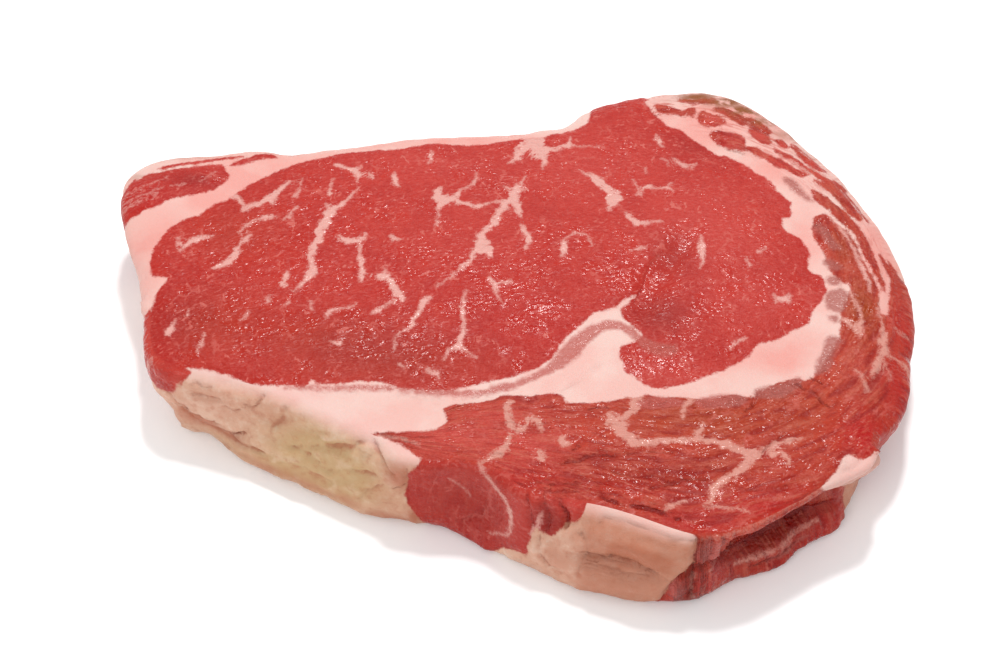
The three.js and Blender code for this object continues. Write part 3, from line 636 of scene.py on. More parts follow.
def steps_of(line: np.ndarray, closed: bool) -> tuple[np.ndarray, np.ndarray]:
    """Splits a line into steps whose last column is the length along it.

    Args:
        line: Rows of x, y and half width.
        closed: Whether the last point joins the first.

    Returns:
        The starts and the ends of the steps.
    """
    ring = np.vstack([line, line[:1]]) if closed else line
    hops = np.hypot(*np.diff(ring[:, :2], axis=0).T)
    length = np.concatenate([[0], np.cumsum(hops)])
    rows = np.column_stack([ring, length])
    return rows[:-1], rows[1:]


def inside_by(points: np.ndarray, outline: Outline, parts: int = 3) -> np.ndarray:
    """How far inside an outline each point lies.

    Args:
        points: The points, rows of two numbers.
        outline: The closed outline.
        parts: How many steps round off each of its sides.

    Returns:
        The distance to the outline, above zero inside and below zero outside.
    """
    line = round_off(np.array(outline, float), True, parts)
    ring = np.column_stack([line, np.zeros(len(line))])
    starts, ends = steps_of(ring, True)
    gap = nearest_on(points, starts, ends).gap
    inside = np.zeros(len(points), bool)
    for (ax, ay), (bx, by) in zip(starts[:, :2], ends[:, :2]):
        if ay == by:
            continue
        crosses = (ay > points[:, 1]) != (by > points[:, 1])
        at = ax + (points[:, 1] - ay) * (bx - ax) / (by - ay)
        inside ^= crosses & (points[:, 0] < at)
    return np.where(inside, gap, -gap)


def inside_any(points: np.ndarray, outlines: Iterable[Outline], parts: int = 3) -> np.ndarray:
    """How far inside the nearest of several outlines each point lies."""
    return np.max([inside_by(points, outline, parts) for outline in outlines], axis=0)


def nearest_vein(points: np.ndarray, courses: Iterable[Course], parts: int = 3) -> Nearest:
    """Finds the vein whose edge is nearest to each point.

    Args:
        points: The points, rows of two numbers.
        courses: The veins.
        parts: How many steps round off each of their sides.

    Returns:
        What lies nearest, with the vein's half width there.
    """
    starts, ends = [], []
    for course in courses:
        line = round_off(np.array(course, float), False, parts)
        line[:, 2] = np.maximum(line[:, 2], 0.15)
        low, high = steps_of(line, False)
        starts.append(low)
        ends.append(high)
    return nearest_on(points, np.vstack(starts), np.vstack(ends), by_edge=True)


def bell(distance: np.ndarray, reach: float | np.ndarray) -> np.ndarray:
    """One at no distance, falling to nothing well past the reach."""
    return np.exp(-((distance / reach) ** 2))


def fade(values: np.ndarray, low: float, high: float) -> np.ndarray:
    """Rises smoothly from 0 at low to 1 at high."""
    share = np.clip((values - low) / (high - low), 0, 1)
    return share * share * (3 - 2 * share)


def rough(points: np.ndarray, wavelength: float | tuple[float, float, float],
          seed: float) -> np.ndarray:
    """Smooth random values, about -1 to 1.

    Args:
        points: Rows of three numbers, in millimetres.
        wavelength: The size of a swell, in millimetres, or one for each axis.
        seed: Which random field.

    Returns:
        One value for each point.
    """
    scaled = points / np.array(wavelength, float) + seed
    return np.fromiter((noise.noise(Vector(row)) for row in scaled), float, len(points))


def ridged(points: np.ndarray, wavelength: float | tuple[float, float, float],
           seed: float) -> np.ndarray:
    """Sharp-crested random values, 0 in the troughs and 1 on the crests."""
    return 1 - np.abs(np.clip(rough(points, wavelength, seed) * 1.6, -1, 1))


# ---------------------------------------------------------------------------
# The steak
# ---------------------------------------------------------------------------


@dataclass(frozen=True)
class Stain:
    """A soft-edged spot of another shade: centre, reach and strength, in plan or unrolled."""

    x: float
    y: float
    long: float
    deep: float
    amount: float = 1.0

    def over(self, points: np.ndarray) -> np.ndarray:
        """The stain's strength at each point."""
        away = np.hypot((points[:, 0] - self.x) / self.long, (points[:, 1] - self.y) / self.deep)
        return self.amount * bell(away, 1.0)


def stained(points: np.ndarray, stains: Iterable[Stain]) -> np.ndarray:
    """The strongest of several stains at each point."""
    return np.max([stain.over(points) for stain in stains], axis=0)


BROWNED: tuple[Stain, ...] = (
    Stain(89, -3.5, 4, 9, 1.4), Stain(86.5, 18, 3, 8, 0.8), Stain(62, 66.4, 3, 2, 0.7),
    Stain(46, -38, 18, 7, 0.75), Stain(67, -36, 14, 9, 0.5), Stain(86, 33, 2.4, 3, 0.5),
    Stain(38, -40, 9, 5, 0.5), Stain(52, -43, 8, 4, 0.6), Stain(-76, -10, 18, 12, 0.3),
    Stain(-30, -22, 30, 8, 0.3), Stain(-72, 22, 12, 10, 0.25), Stain(-48, -14, 20, 9, 0.3),
)
SCARLET: tuple[Stain, ...] = (
    Stain(-96, 34, 8, 5, 0.5), Stain(-84, 40, 6, 3, 0.5),
    Stain(97, -30, 5, 16), Stain(86, -44, 7, 8, 1.3), Stain(62, -66, 18, 5),
    Stain(45, -70, 14, 4, 0.9),
    Stain(2, -57, 12, 5, 0.8), Stain(99, -8, 4, 10, 0.8), Stain(-88, -12, 5, 14, 0.5),
    Stain(30, -60, 16, 4, 0.5), Stain(6, -10, 14, 12, 0.35), Stain(75, 48, 7, 6, 0.5),
    Stain(57, 57, 6, 4, 0.6), Stain(-10, 2, 10, 8, 0.2),
)
ROSY: tuple[Stain, ...] = (
    Stain(55, 64.6, 4, 2.4, 0.9), Stain(59, 56, 5, 3.4, 0.9), Stain(67, 58.4, 4, 2.6, 0.8),
    Stain(73.4, 55, 2.4, 2, 0.8), Stain(80, 46, 6, 6, 0.6), Stain(71, 47, 6, 4, 0.7),
    Stain(-82, 48, 10, 2, 0.6), Stain(-64, 13, 12, 7, 0.2),
    Stain(-14, -44, 15, 6, 1), Stain(2, -47, 14, 7, 0.9), Stain(-4, -38, 12, 5, 0.8),
    Stain(20, 45, 24, 16, 0.6), Stain(-10, 25, 28, 18, 0.35), Stain(52, 25, 22, 20, 0.7),
    Stain(60, 0, 18, 12, 0.5), Stain(-20, 47, 30, 8, 0.5), Stain(42, -25, 12, 5, 0.5),
)
DUSKY: tuple[Stain, ...] = (
    Stain(-84, 41, 6, 3, 0.6), Stain(38, -6, 8, 7, 0.6),
    Stain(37, -57, 12, 4, 0.5), Stain(48, -54, 8, 4, 0.4), Stain(-84, -8, 10, 9, 0.35),
    Stain(42, 14, 7, 8, 0.45), Stain(-34, -17, 22, 8, 0.4), Stain(52, 56, 9, 5, 0.3),
    Stain(20, -52, 10, 3, 0.4),
)
PINK_FAT: tuple[Stain, ...] = (
    Stain(-90, 22, 12, 14, 0.9), Stain(-78, 36, 12, 8, 0.9), Stain(-60, 48, 20, 6, 0.8),
    Stain(-10, 56, 50, 4, 0.7), Stain(52, 60, 14, 8, 0.6), Stain(70, 46, 8, 8, 0.6),
    Stain(78, 24, 5, 14, 0.6), Stain(60, -22, 16, 6, 0.3), Stain(96, 12, 5, 22, 0.9),
    Stain(56, 66, 20, 6, 0.8), Stain(64, -18, 14, 6, 0.9),
    Stain(-72, 42, 10, 5, 1.3),
)
STREAKY: tuple[Stain, ...] = (
    Stain(46, 71.6, 10, 4, 1), Stain(60, 66, 8, 6, 1), Stain(71, 58, 8, 7, 0.9),
    Stain(82, 46, 7, 9, 0.7), Stain(95, 20, 4, 14, 0.5),
)
TANNED: tuple[Stain, ...] = (
    Stain(51, 74.8, 6, 2, 1.3), Stain(59, 72.4, 5, 2.4, 1.4), Stain(64, 69.4, 5, 2.8, 1.4),
    Stain(69.4, 65.4, 4.4, 2.2, 1.1), Stain(76, 60.6, 4, 2, 0.9), Stain(82.4, 53.4, 4, 2, 0.6),
    Stain(-99, 44, 5, 1.6, 0.4), Stain(-88, 51, 8, 1.2, 0.4),
)
MOIST: tuple[Stain, ...] = (
    Stain(37, 6, 6, 8, 1.4), Stain(44, 17, 5, 4, 1.2), Stain(35, -22, 6, 3, 1.2),
    Stain(54.7, -38.5, 4, 3, 1.5), Stain(58, -34.6, 3, 2, 1.5), Stain(40, -47.6, 5, 1.8, 1.5),
    Stain(35, -40.5, 3, 2, 1.2), Stain(78, -39, 3, 2, 1.3), Stain(73.5, -46, 4, 2, 1.3),
    Stain(23.8, -42.6, 3, 2, 1.3), Stain(27.6, -59.5, 4, 2.4, 1.3), Stain(1, 2, 5, 4, 0.8),
    Stain(9, -4, 6, 3, 0.9), Stain(24, -45, 5, 3, 1), Stain(44, -48, 9, 3, 1),
    Stain(54, -41, 7, 4, 1), Stain(58, -35, 5, 3, 1), Stain(27, -60, 6, 3, 0.9),
    Stain(74, -42, 8, 8, 0.9), Stain(67, -53, 10, 4, 0.9), Stain(79, -21, 3, 4, 1),
    Stain(-62, -8, 16, 8, 0.3), Stain(-30, -12, 18, 8, 0.35), Stain(-20, 12, 16, 8, 0.3),
    Stain(56, 8, 8, 8, 0.3), Stain(10, 14, 10, 6, 0.4), Stain(-62, 12, 14, 8, 0.6),
    Stain(86, -8, 4, 10, 0.4), Stain(30, 8, 8, 8, 0.5), Stain(-44, 26, 10, 8, 0.4),
    Stain(82, 22, 3, 6, 0.6), Stain(16, -40, 10, 5, 0.6), Stain(48, -60, 12, 4, 0.6),
)
WALL_OLIVE: tuple[Stain, ...] = (
    Stain(49, 13, 17, 10, 1.5), Stain(38, 7, 14, 5, 1.1), Stain(25, 5, 12, 3, 0.7),
)
# Ruddy spots on the rind; the low bands at 40 and 68 round paint the shade along the bottom of the
# fat face, the rest are a ruddier tone of the fat.
WALL_RUDDY_AND_SHADE: tuple[Stain, ...] = (
    Stain(66, 9, 5, 8, 0.35), Stain(69, 19, 4, 6, 1.1), Stain(68, 2.6, 9, 3, 0.9),
    Stain(73, 5, 4, 4, 1), Stain(132, 17, 14, 5, 1.3),
    Stain(18, 19, 13, 8, 0.4), Stain(32, 21, 8, 4, 0.4), Stain(40, 4.6, 26, 2.2, 0.6),
    Stain(126, 8, 12, 4, 0.7), Stain(118, 8, 2, 2, 0.9), Stain(12, 10, 5, 2.4, 1),
    Stain(22, 9, 7, 1.8, 0.8),
    Stain(128, 13, 10, 4, 0.9), Stain(120, 18, 10, 4, 0.7), Stain(112, 10, 8, 6, 0.6),
    Stain(14, 9, 9, 3, 0.9), Stain(20, 21, 12, 4, 0.25), Stain(10, 15, 4, 5, 0.5),
    Stain(30, 20, 7, 4, 0.3), Stain(56, 5, 5, 2.5, 0.6), Stain(126, 12, 8, 3, 0.5),
    Stain(112, 8, 8, 4, 0.3), Stain(134, 10, 6, 3, 0.5),
)
# Darker spots on the wall. Those from 155 to 182 round, in the hollow under the lip, are painted
# shade over its darker muscle; the rest are a darker tone of the lean.
WALL_DUSKY_AND_SHADE: tuple[Stain, ...] = (
    Stain(86, 12, 20, 16, 0.4),
    Stain(170, 10, 16, 3.4, 1.2), Stain(155, 13, 7, 3.4, 1), Stain(168, 2, 16, 3, 0.3),
    Stain(108, 19, 5, 5, 0.8),
    Stain(90, 22, 16, 4, 0.25), Stain(182, 12, 8, 6, 0.6),
)
WALL_SCARLET: tuple[Stain, ...] = (
    Stain(90, 4, 12, 4, 0.5), Stain(148, 8, 5, 5, 0.9), Stain(184, 5, 8, 4, 0.8),
    Stain(176, 3, 14, 2.5, 0.7),
    Stain(75, 12, 5, 8, 0.3), Stain(240, 12, 40, 10, 0.5),
)
WALL_ROSY: tuple[Stain, ...] = (
    Stain(102, 14, 3, 9, 0.6),
    Stain(99, 17, 4, 7, 0.9), Stain(84, 22, 9, 3.4, 0.5), Stain(94, 20, 6, 4, 0.5),
    Stain(108, 24, 5, 3, 0.5), Stain(112, 24, 5, 2.4, 0.9),
)
WALL_FILM: tuple[Stain, ...] = (
    Stain(140.8, 8, 2.4, 5, 0.9), Stain(148, 20, 5, 5, 0.95), Stain(170, 5, 14, 1.6, 0.66),
    Stain(158, 21, 9, 4, 0.5),
)


@dataclass(frozen=True)
class Swell:
    """A random relief: its height, the size of its swells and which random field it is."""

    height: float
    size: tuple[float, float, float]
    seed: float
    sharp: bool = False
    middle: float = 0.0

    def over(self, points: np.ndarray) -> np.ndarray:
        """The relief at each point, in millimetres."""
        field_of = ridged if self.sharp else rough
        return self.height * (field_of(points, self.size, self.seed) - self.middle)


@dataclass(frozen=True)
class Roll:
    """A ridge along the wall that fades in and out; with a height below zero, a hollow."""

    height: float
    start: float
    full: float
    end: float
    ending: float
    level: float
    reach: float

    def over(self, around: np.ndarray, up: np.ndarray) -> np.ndarray:
        """The ridge's height at each point of the unrolled wall, in millimetres."""
        long = fade(around, self.start, self.full) * fade(self.end - around, 0, self.ending)
        return self.height * long * bell(up - self.level, self.reach)


EYE_SWELLS = (Swell(0.10, (5.0, 2.6, 5.0), 3.1), Swell(0.09, (2.4, 1.5, 2.4), 7.7))
CAP_SWELLS = (
    Swell(0.34, (11.0, 3.4, 9.0), 1.3), Swell(0.55, (9.0, 3.4, 9.0), 5.9, True, 0.5),
    Swell(0.20, (5.0, 1.9, 5.0), 9.4),
)
TAIL_SWELL = Swell(0.22, (7.0, 2.2, 6.0), 4.4)
FAT_SWELL = Swell(0.12, (9.0, 7.0, 9.0), 6.6)
TOP_FLAP = Stain(81, -53.5, 3.6, 3.4)
TOP_FLAP_SWELL = Swell(1.5, (2.6, 2.2, 2.0), 62.0)
TOP_FLAP_RISE = 0.6

WALL_FAT_SWELLS = (
    Swell(0.42, (9.0, 7.0, 9.0), 2.7), Swell(0.26, (4.5, 2.6, 4.0), 8.3),
    Swell(0.16, (2.2, 1.5, 2.0), 3.9),
)
WALL_FAT_FOLDS = (
    Swell(0.6, (12.0, 4.4, 9.0), 27.4, True, 0.55), Swell(0.5, (6.0, 2.6, 5.0), 41.2, True, 0.55),
)
WALL_LEAN_SWELL = Swell(0.22, (3.2, 8.0, 4.0), 5.5)
STRIP_END_FOLDS = Swell(0.8, (3.4, 22.0, 9.0), 11.4, True, 0.6)
MEMBRANE_FOLDS = Swell(0.9, (2.4, 22.0, 9.0), 31.4, True, 0.6)
UPRIGHT_FIBRES = Swell(0.5, (1.7, 9.0, 9.0), 17.2, True, 0.6)
WALL_FLAP_SWELL = Swell(1.5, (2.8, 2.2, 2.0), 62.0)
WALL_KNOBS = (Stain(107, 11, 2.6, 3.6, 1.1), Stain(67.5, 20, 3.2, 4.4, 0.8))
FAT_BLOCK_ROLL = Roll(1.5, 116, 122, 146, 5, 19.5, 3.6)
FAT_BLOCK_HOLLOW = Roll(-0.8, 116, 120, 140, 4, 12.6, 2.4)
LIP_ROLL = Roll(0.9, 148, 156, 190, 6, 24.2, 1.8)
LIP_HOLLOW = Roll(-1.6, 148, 158, 188, 8, 15, 4.2)
WALL_ROLLS = (FAT_BLOCK_ROLL, FAT_BLOCK_HOLLOW, LIP_ROLL, LIP_HOLLOW)
HIDDEN_SWELLS = (
    Swell(0.35, (9.0, 7.0, 9.0), 12.7), Swell(0.2, (3.4, 3.0, 4.0), 18.3),
)
HIDDEN_LEAN_SWELL = Swell(0.25, (2.6, 12.0, 4.0), 15.5)


@dataclass
class Tissues:
    """What each point of the surface is made of, one number for each point unless said."""

    lean: np.ndarray
    cap: np.ndarray
    film: np.ndarray
    vein_reach: np.ndarray
    vein_gap: np.ndarray
    vein_half: np.ndarray
    grain: np.ndarray
    brown: np.ndarray
    scarlet: np.ndarray
    rosy: np.ndarray
    # a darker tone of the lean, and on the wall painted shade in the hollow under the lip
    dusky: np.ndarray
    rind: np.ndarray
    olive: np.ndarray
    # a ruddier tone of the rind, with painted shade along the bottom of the fat face
    ruddy: np.ndarray
    # how much painted shade darkens a crease floor, 0 to 1
    gloom: np.ndarray
    wet: np.ndarray
    pink: np.ndarray
    crack_reach: np.ndarray
    crack_gap: np.ndarray
    crack_half: np.ndarray
    calm: np.ndarray
    # the relief height on the wall, which paints highlight on the rind's lumps and shade in its
    # hollows
    raised: np.ndarray
    streaky: np.ndarray
    tanned: np.ndarray

    @classmethod
    def blank(cls, count: int) -> "Tissues":
        """Tissues for this many points, with nothing in them yet."""
        flat = {name: np.zeros(count) for name in cls.__dataclass_fields__}
        flat["vein_reach"] = np.zeros((count, 3))
        flat["crack_reach"] = np.full((count, 3), 99.0)
        flat["crack_gap"] = np.full(count, 99.0)
        flat["grain"] = np.zeros((count, 3))
        return cls(**flat)

    def put(self, rows: np.ndarray, **parts: np.ndarray) -> None:
        """Fills the named parts at some of the points."""
        for name, values in parts.items():
            getattr(self, name)[rows] = values


@dataclass
class Steak:
    """The slice of meat: its surface, relief and tissues. Lengths are in millimetres."""

    source: bpy.types.Object
    name: str = "steak"
    foot_corner: tuple[float, float] = (-83.7, -13.7)
    grid_span: int = 62
    wall_bands: int = 9
    point_spacing: float = 0.5
    hidden_wall_from: float = 200.0
    hidden_wall_to: float = 522.0
    cap_centre: tuple[float, float] = (38.0, 12.0)
    rim_reach: float = 8.0
    strand_growth: float = 0.3
    grain_turn: float = 104.0
    foot: np.ndarray = field(default_factory=lambda: np.zeros((0, 2)))
    rim: np.ndarray = field(default_factory=lambda: np.zeros((0, 2)))

    def build(self) -> bpy.types.Object:
        """Models the slice.

        Returns:
            The finished object, with its tissues as attributes.
        """
        piece = self.take_body()
        self.span_underside(piece)
        self.round_surface(piece)
        self.shape(piece)
        for polygon in piece.data.polygons:
            polygon.use_smooth = True
        return piece

    def take_body(self) -> bpy.types.Object:
        """Copies the solid, joins its loose triangles and turns them into four-sided faces.

        Returns:
            The copy, open at its underside.
        """
        piece = self.source.copy()
        piece.data = self.source.data.copy()
        piece.name = self.name
        piece.data.name = self.name
        piece.parent = None
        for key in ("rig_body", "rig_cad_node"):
            if key in piece:
                del piece[key]
        piece.data.materials.clear()
        bpy.context.scene.collection.objects.link(piece)
        bpy.ops.object.select_all(action="DESELECT")
        piece.select_set(True)
        bpy.context.view_layer.objects.active = piece
        bpy.ops.object.mode_set(mode="EDIT")
        bpy.ops.mesh.select_all(action="SELECT")
        bpy.ops.mesh.customdata_custom_splitnormals_clear()
        bpy.ops.mesh.remove_doubles(threshold=0.001 * MM)
        bpy.ops.mesh.select_all(action="DESELECT")
        bpy.ops.object.mode_set(mode="OBJECT")
        for polygon in piece.data.polygons:
            polygon.select = polygon.normal.z < -0.999 and polygon.center.z < 1e-6
        bpy.ops.object.mode_set(mode="EDIT")
        bpy.ops.mesh.select_mode(type="FACE")
        bpy.ops.mesh.delete(type="FACE")
        bpy.ops.mesh.select_mode(type="VERT")
        bpy.ops.object.mode_set(mode="OBJECT")
        self.mark_bands(piece)
        bpy.ops.object.mode_set(mode="EDIT")
        bpy.ops.mesh.select_all(action="SELECT")
        bpy.ops.mesh.tris_convert_to_quads(face_threshold=math.pi, shape_threshold=math.pi)
        bpy.ops.object.mode_set(mode="OBJECT")
        return piece

    def mark_bands(self, piece: bpy.types.Object) -> None:
        """Counts each point's bands up from the foot, and keeps the foot's outline."""
        mesh = piece.data
        co = read_points(mesh)
        edges = np.zeros(len(mesh.edges) * 2, int)
        mesh.edges.foreach_get("vertices", edges)
        edges = edges.reshape(-1, 2)
        band = np.where(co[:, 2] < 1e-3, 0.0, np.inf)
        for level in range(1, self.wall_bands + 4):
            below = band[edges] == level - 1
            for near, far in ((0, 1), (1, 0)):
                rows = edges[below[:, near], far]
                band[rows] = np.minimum(band[rows], level)
        band[np.isinf(band)] = self.wall_bands + 4
        write_attribute(mesh, "band", band)
        ring = co[band == 0][:, :2]
        ring = ring[np.argsort(np.arctan2(ring[:, 1], ring[:, 0]))]
        start = np.argmin(np.hypot(*(ring - np.array(self.foot_corner)).T))
        self.foot = np.roll(ring, -start, 0)
        edge = co[band == self.wall_bands][:, :2]
        self.rim = edge[np.argsort(np.arctan2(edge[:, 1], edge[:, 0]))]

    def span_underside(self, piece: bpy.types.Object) -> None:
        """Closes the open underside with a flat grid."""
        bpy.ops.object.mode_set(mode="EDIT")
        bpy.ops.mesh.select_mode(type="EDGE")
        bpy.ops.mesh.select_all(action="DESELECT")
        bpy.ops.mesh.select_non_manifold()
        bpy.ops.mesh.fill_grid(span=self.grid_span, offset=0, use_interp_simple=True)
        bpy.ops.object.mode_set(mode="OBJECT")

    def round_surface(self, piece: bpy.types.Object) -> None:
        """Rounds the slice off twice, and the flat underside once."""
        bpy.ops.object.mode_set(mode="EDIT")
        bpy.ops.mesh.select_all(action="DESELECT")
        bpy.ops.object.mode_set(mode="OBJECT")
        for polygon in piece.data.polygons:
            polygon.select = polygon.normal.z < -0.999 and polygon.center.z < 1e-6
        bpy.ops.object.mode_set(mode="EDIT")
        bpy.ops.mesh.select_mode(type="FACE")
        before = set(bpy.data.objects)
        bpy.ops.mesh.separate(type="SELECTED")
        bpy.ops.object.mode_set(mode="OBJECT")
        under = next(iter(set(bpy.data.objects) - before))
        for shell, levels in ((piece, 2), (under, 1)):
            bpy.ops.object.select_all(action="DESELECT")
            shell.select_set(True)
            bpy.context.view_layer.objects.active = shell
            rounding = shell.modifiers.new("rounding", "SUBSURF")
            rounding.levels = rounding.render_levels = levels
            bpy.ops.object.modifier_apply(modifier=rounding.name)
        bpy.ops.object.mode_set(mode="EDIT")
        bpy.ops.mesh.select_mode(type="EDGE")
        bpy.ops.mesh.select_all(action="DESELECT")
        bpy.ops.mesh.select_non_manifold()
        bpy.ops.mesh.subdivide(number_cuts=1)
        bpy.ops.object.mode_set(mode="OBJECT")
        piece.select_set(True)
        bpy.context.view_layer.objects.active = piece
        bpy.ops.object.join()
        bpy.ops.object.mode_set(mode="EDIT")
        bpy.ops.mesh.select_mode(type="VERT")
        bpy.ops.mesh.select_all(action="SELECT")
        bpy.ops.mesh.remove_doubles(threshold=0.1 * MM)
        bpy.ops.mesh.select_all(action="DESELECT")
        bpy.ops.object.mode_set(mode="OBJECT")

    def shape(self, piece: bpy.types.Object) -> None:
        """Moves the surface into its relief and writes its tissues on it."""
        mesh = piece.data
        points = read_points(mesh)
        normals = read_normals(mesh)
        band = read_attribute(mesh, "band")
        under = (band < 0.02) & (points[:, 2] < 0.02)
        wall = ~under & (band <= self.wall_bands)
        top = ~under & ~wall
        tissues = Tissues.blank(len(points))
        round_foot = self.way_round(points)
        points += self.lean_out(points, round_foot, top)
        unrolled = np.column_stack([round_foot, points[:, 2]])
        rise = np.zeros(len(points))
        self.lay_top(tissues, np.flatnonzero(top), points[top], rise)
        self.lay_under(tissues, np.flatnonzero(under), points[under])
        self.lay_wall(tissues, np.flatnonzero(wall), points[wall], unrolled[wall], rise)
        rise *= 0.35 + 0.65 * fade(np.abs(band - self.wall_bands - 0.2), 0.0, 0.9)
        tissues.calm = fade(np.abs(band - self.wall_bands - 0.125), 0.14, 0.6)
        for seam in (self.hidden_wall_from, self.hidden_wall_to, self.grain_turn):
            beside = fade(np.abs(round_foot - seam), 0.8, 2.6)
            tissues.calm = np.where(top, tissues.calm, np.minimum(tissues.calm, beside))
        moved = points + normals * rise[:, None]
        moved[:, 2] = np.maximum(moved[:, 2], 0)
        moved[under, 2] = 0
        write_points(mesh, moved)
        for part in Tissues.__dataclass_fields__:
            write_attribute(mesh, part, getattr(tissues, part))
        mesh.attributes.remove(mesh.attributes["band"])
        mesh.update()

    def lean_out(self, points: np.ndarray, around: np.ndarray, top: np.ndarray) -> np.ndarray:
        """Works out how the rim and the foot lean out of the plain body.

        Args:
            points: The points.
            around: How far round the foot each lies.
            top: Which of them are on the cut face.

        Returns:
            How far each point moves.
        """
        ring = np.column_stack([self.rim, np.zeros(len(self.rim))])
        gap = nearest_on(points[:, :2], *steps_of(ring, True)).gap
        near_rim = np.where(top, bell(gap, self.rim_reach), fade(points[:, 2], 1, 22))
        near_foot = np.where(top, 0, fade(13 - points[:, 2], 0, 11))
        moves = np.zeros_like(points)
        for table, share in ((np.array(RIM_LEAN), near_rim), (np.array(FOOT_LEAN), near_foot)):
            for axis in (0, 1):
                moves[:, axis] += share * np.interp(around, table[:, 0], table[:, axis + 1])
        return moves

    def way_round(self, points: np.ndarray) -> np.ndarray:
        """How far round the foot each point lies, from the front left corner, in millimetres."""
        ring = np.column_stack([self.foot, np.zeros(len(self.foot))])
        starts, ends = steps_of(ring, True)
        return nearest_on(points[:, :2], starts, ends).along

    def plan(self, tissues: Tissues, rows: np.ndarray, flat: np.ndarray, deep: np.ndarray,
             vein_flat: np.ndarray) -> dict[str, np.ndarray]:
        """Lays the plan of the muscles on some points.

        Args:
            tissues: The tissues to fill.
            rows: Which points they are.
            flat: Where each is in plan.
            deep: Each point in space, for grain that runs on through the slice.
            vein_flat: Where each is on the plan of the veins.

        Returns:
            How far inside the eye, cap, tail and films each point lies.
        """
        eye = inside_by(flat, EYE)
        cap = np.maximum(inside_by(flat, CAP), inside_any(flat, STRANDS) + self.strand_growth)
        tail = inside_any(flat, (TAIL, TAIL_UPPER, TAIL_TIP))
        film = inside_any(flat, FILMS)
        veins = nearest_vein(vein_flat, EYE_VEINS + CAP_VEINS + TAIL_VEINS)
        around = np.arctan2(flat[:, 1] - self.cap_centre[1], flat[:, 0] - self.cap_centre[0])
        outward = np.hypot(flat[:, 0] - self.cap_centre[0], flat[:, 1] - self.cap_centre[1])
        in_cap = cap > np.maximum(eye, tail)
        x, y = flat.T
        front = fade(-y, 22, 34) * fade(60 - x, 0, 30)
        seam = -33 - 10 * fade(-x, 0, 36)
        edge = -43.5 - 0.354 * (x + 36)
        share = (seam - y) / np.maximum(seam - edge, 1.5)
        arc_grain = np.column_stack([(around + math.pi / 2) * 60 + 38, outward - 45, deep[:, 2]])
        front_grain = np.column_stack([x, share * 36, deep[:, 2]])
        cap_grain = arc_grain * (1 - front[:, None]) + front_grain * front[:, None]
        tail_grain = np.column_stack([0.85 * x + 0.53 * y, 0.85 * y - 0.53 * x, deep[:, 2]])
        streaky = stained(flat, STREAKY)
        turned = np.column_stack([0.95 * x + 0.31 * y, 0.95 * y - 0.31 * x, deep[:, 2]])
        along_cap = (in_cap | (streaky > 0.1)) & (eye < 0)
        grain = np.where(along_cap[:, None], cap_grain, turned)
        grain = np.where((tail > np.maximum(eye, cap))[:, None], tail_grain, grain)
        tissues.put(
            rows, lean=np.max([eye, cap, tail], axis=0), cap=in_cap * 1.0, film=film,
            vein_reach=np.column_stack([veins.reach, np.zeros(len(flat))]),
            vein_gap=veins.gap - self.point_spacing, vein_half=veins.half, grain=grain,
            brown=stained(flat, BROWNED), scarlet=stained(flat, SCARLET),
            rosy=stained(flat, ROSY), dusky=stained(flat, DUSKY), wet=stained(flat, MOIST),
            pink=stained(flat, PINK_FAT), streaky=streaky, tanned=stained(flat, TANNED),
        )
        return {"eye": eye, "cap": cap, "tail": tail, "film": film}

    def lay_top(self, tissues: Tissues, rows: np.ndarray, points: np.ndarray,
                rise: np.ndarray) -> None:
        """Fills the tissues of the cut face and its relief."""
        flat = points[:, :2]
        inside = self.plan(tissues, rows, flat, points, flat)
        eye, cap, tail = inside["eye"], inside["cap"], inside["tail"]
        grain = tissues.grain[rows]
        in_eye = fade(eye, -0.5, 1.5)
        in_cap = fade(cap, -0.5, 1.5)
        in_tail = fade(tail, -0.5, 1.0)
        edge = tissues.vein_half[rows] - tissues.vein_gap[rows] - self.point_spacing
        veins = fade(edge, -0.6, 0.3)
        lift = sum(swell.over(points) for swell in EYE_SWELLS) * in_eye
        lift += sum(swell.over(grain) for swell in CAP_SWELLS) * in_cap
        lift += TAIL_SWELL.over(points) * in_tail
        lift += FAT_SWELL.over(points) * (1 - np.maximum(in_eye, in_cap))
        lift += 0.10 * veins * np.maximum(in_eye, in_cap)
        for border, depth, width in ((eye, 0.2, 0.8), (cap, 0.2, 0.9), (tail, 0.3, 0.8)):
            uneven = 0.6 + 0.5 * rough(points, 6.0, 2.2)
            lift -= depth * uneven * bell(border + 0.2, width)
        lift += TOP_FLAP.over(flat) * (TOP_FLAP_RISE + TOP_FLAP_SWELL.over(points))
        gloom, sunk, cracks = self.press_creases(flat, points, TOP_CREASES)
        rise[rows] = lift + sunk
        flat_reach = np.column_stack([cracks.reach, np.zeros(len(rows))])
        tissues.put(rows, gloom=gloom, crack_reach=flat_reach, crack_half=cracks.half,
                    crack_gap=cracks.gap - self.point_spacing)

    def lay_under(self, tissues: Tissues, rows: np.ndarray, points: np.ndarray) -> None:
        """Fills the tissues of the underside: the same muscles, with other marbling."""
        drift = np.column_stack([
            2.6 * rough(points + 40, 34.0, 8.1), 2.6 * rough(points + 40, 34.0, 12.9)
        ])
        flat = points[:, :2] * 1.055 + drift
        veined = flat.copy()
        in_eye = inside_by(flat, EYE) > 0
        veined[in_eye, 0] = -8 - veined[in_eye, 0]
        veined[in_eye, 1] = veined[in_eye, 1] + 2
        self.plan(tissues, rows, flat, points, veined)
        turned = tissues.vein_reach[rows]
        turned[in_eye, 0] *= -1
        tissues.put(rows, vein_reach=turned)

    def lay_wall(self, tissues: Tissues, rows: np.ndarray, points: np.ndarray,
                 unrolled: np.ndarray, rise: np.ndarray) -> None:
        """Fills the tissues of the side wall and its relief."""
        seen = (unrolled[:, 0] < self.hidden_wall_from) | (unrolled[:, 0] > self.hidden_wall_to)
        front = unrolled.copy()
        whole = self.perimeter()
        front[front[:, 0] > whole / 2, 0] -= whole
        self.lay_front_wall(tissues, rows[seen], points[seen], front[seen], rise)
        self.lay_hidden_wall(tissues, rows[~seen], points[~seen], unrolled[~seen], rise)

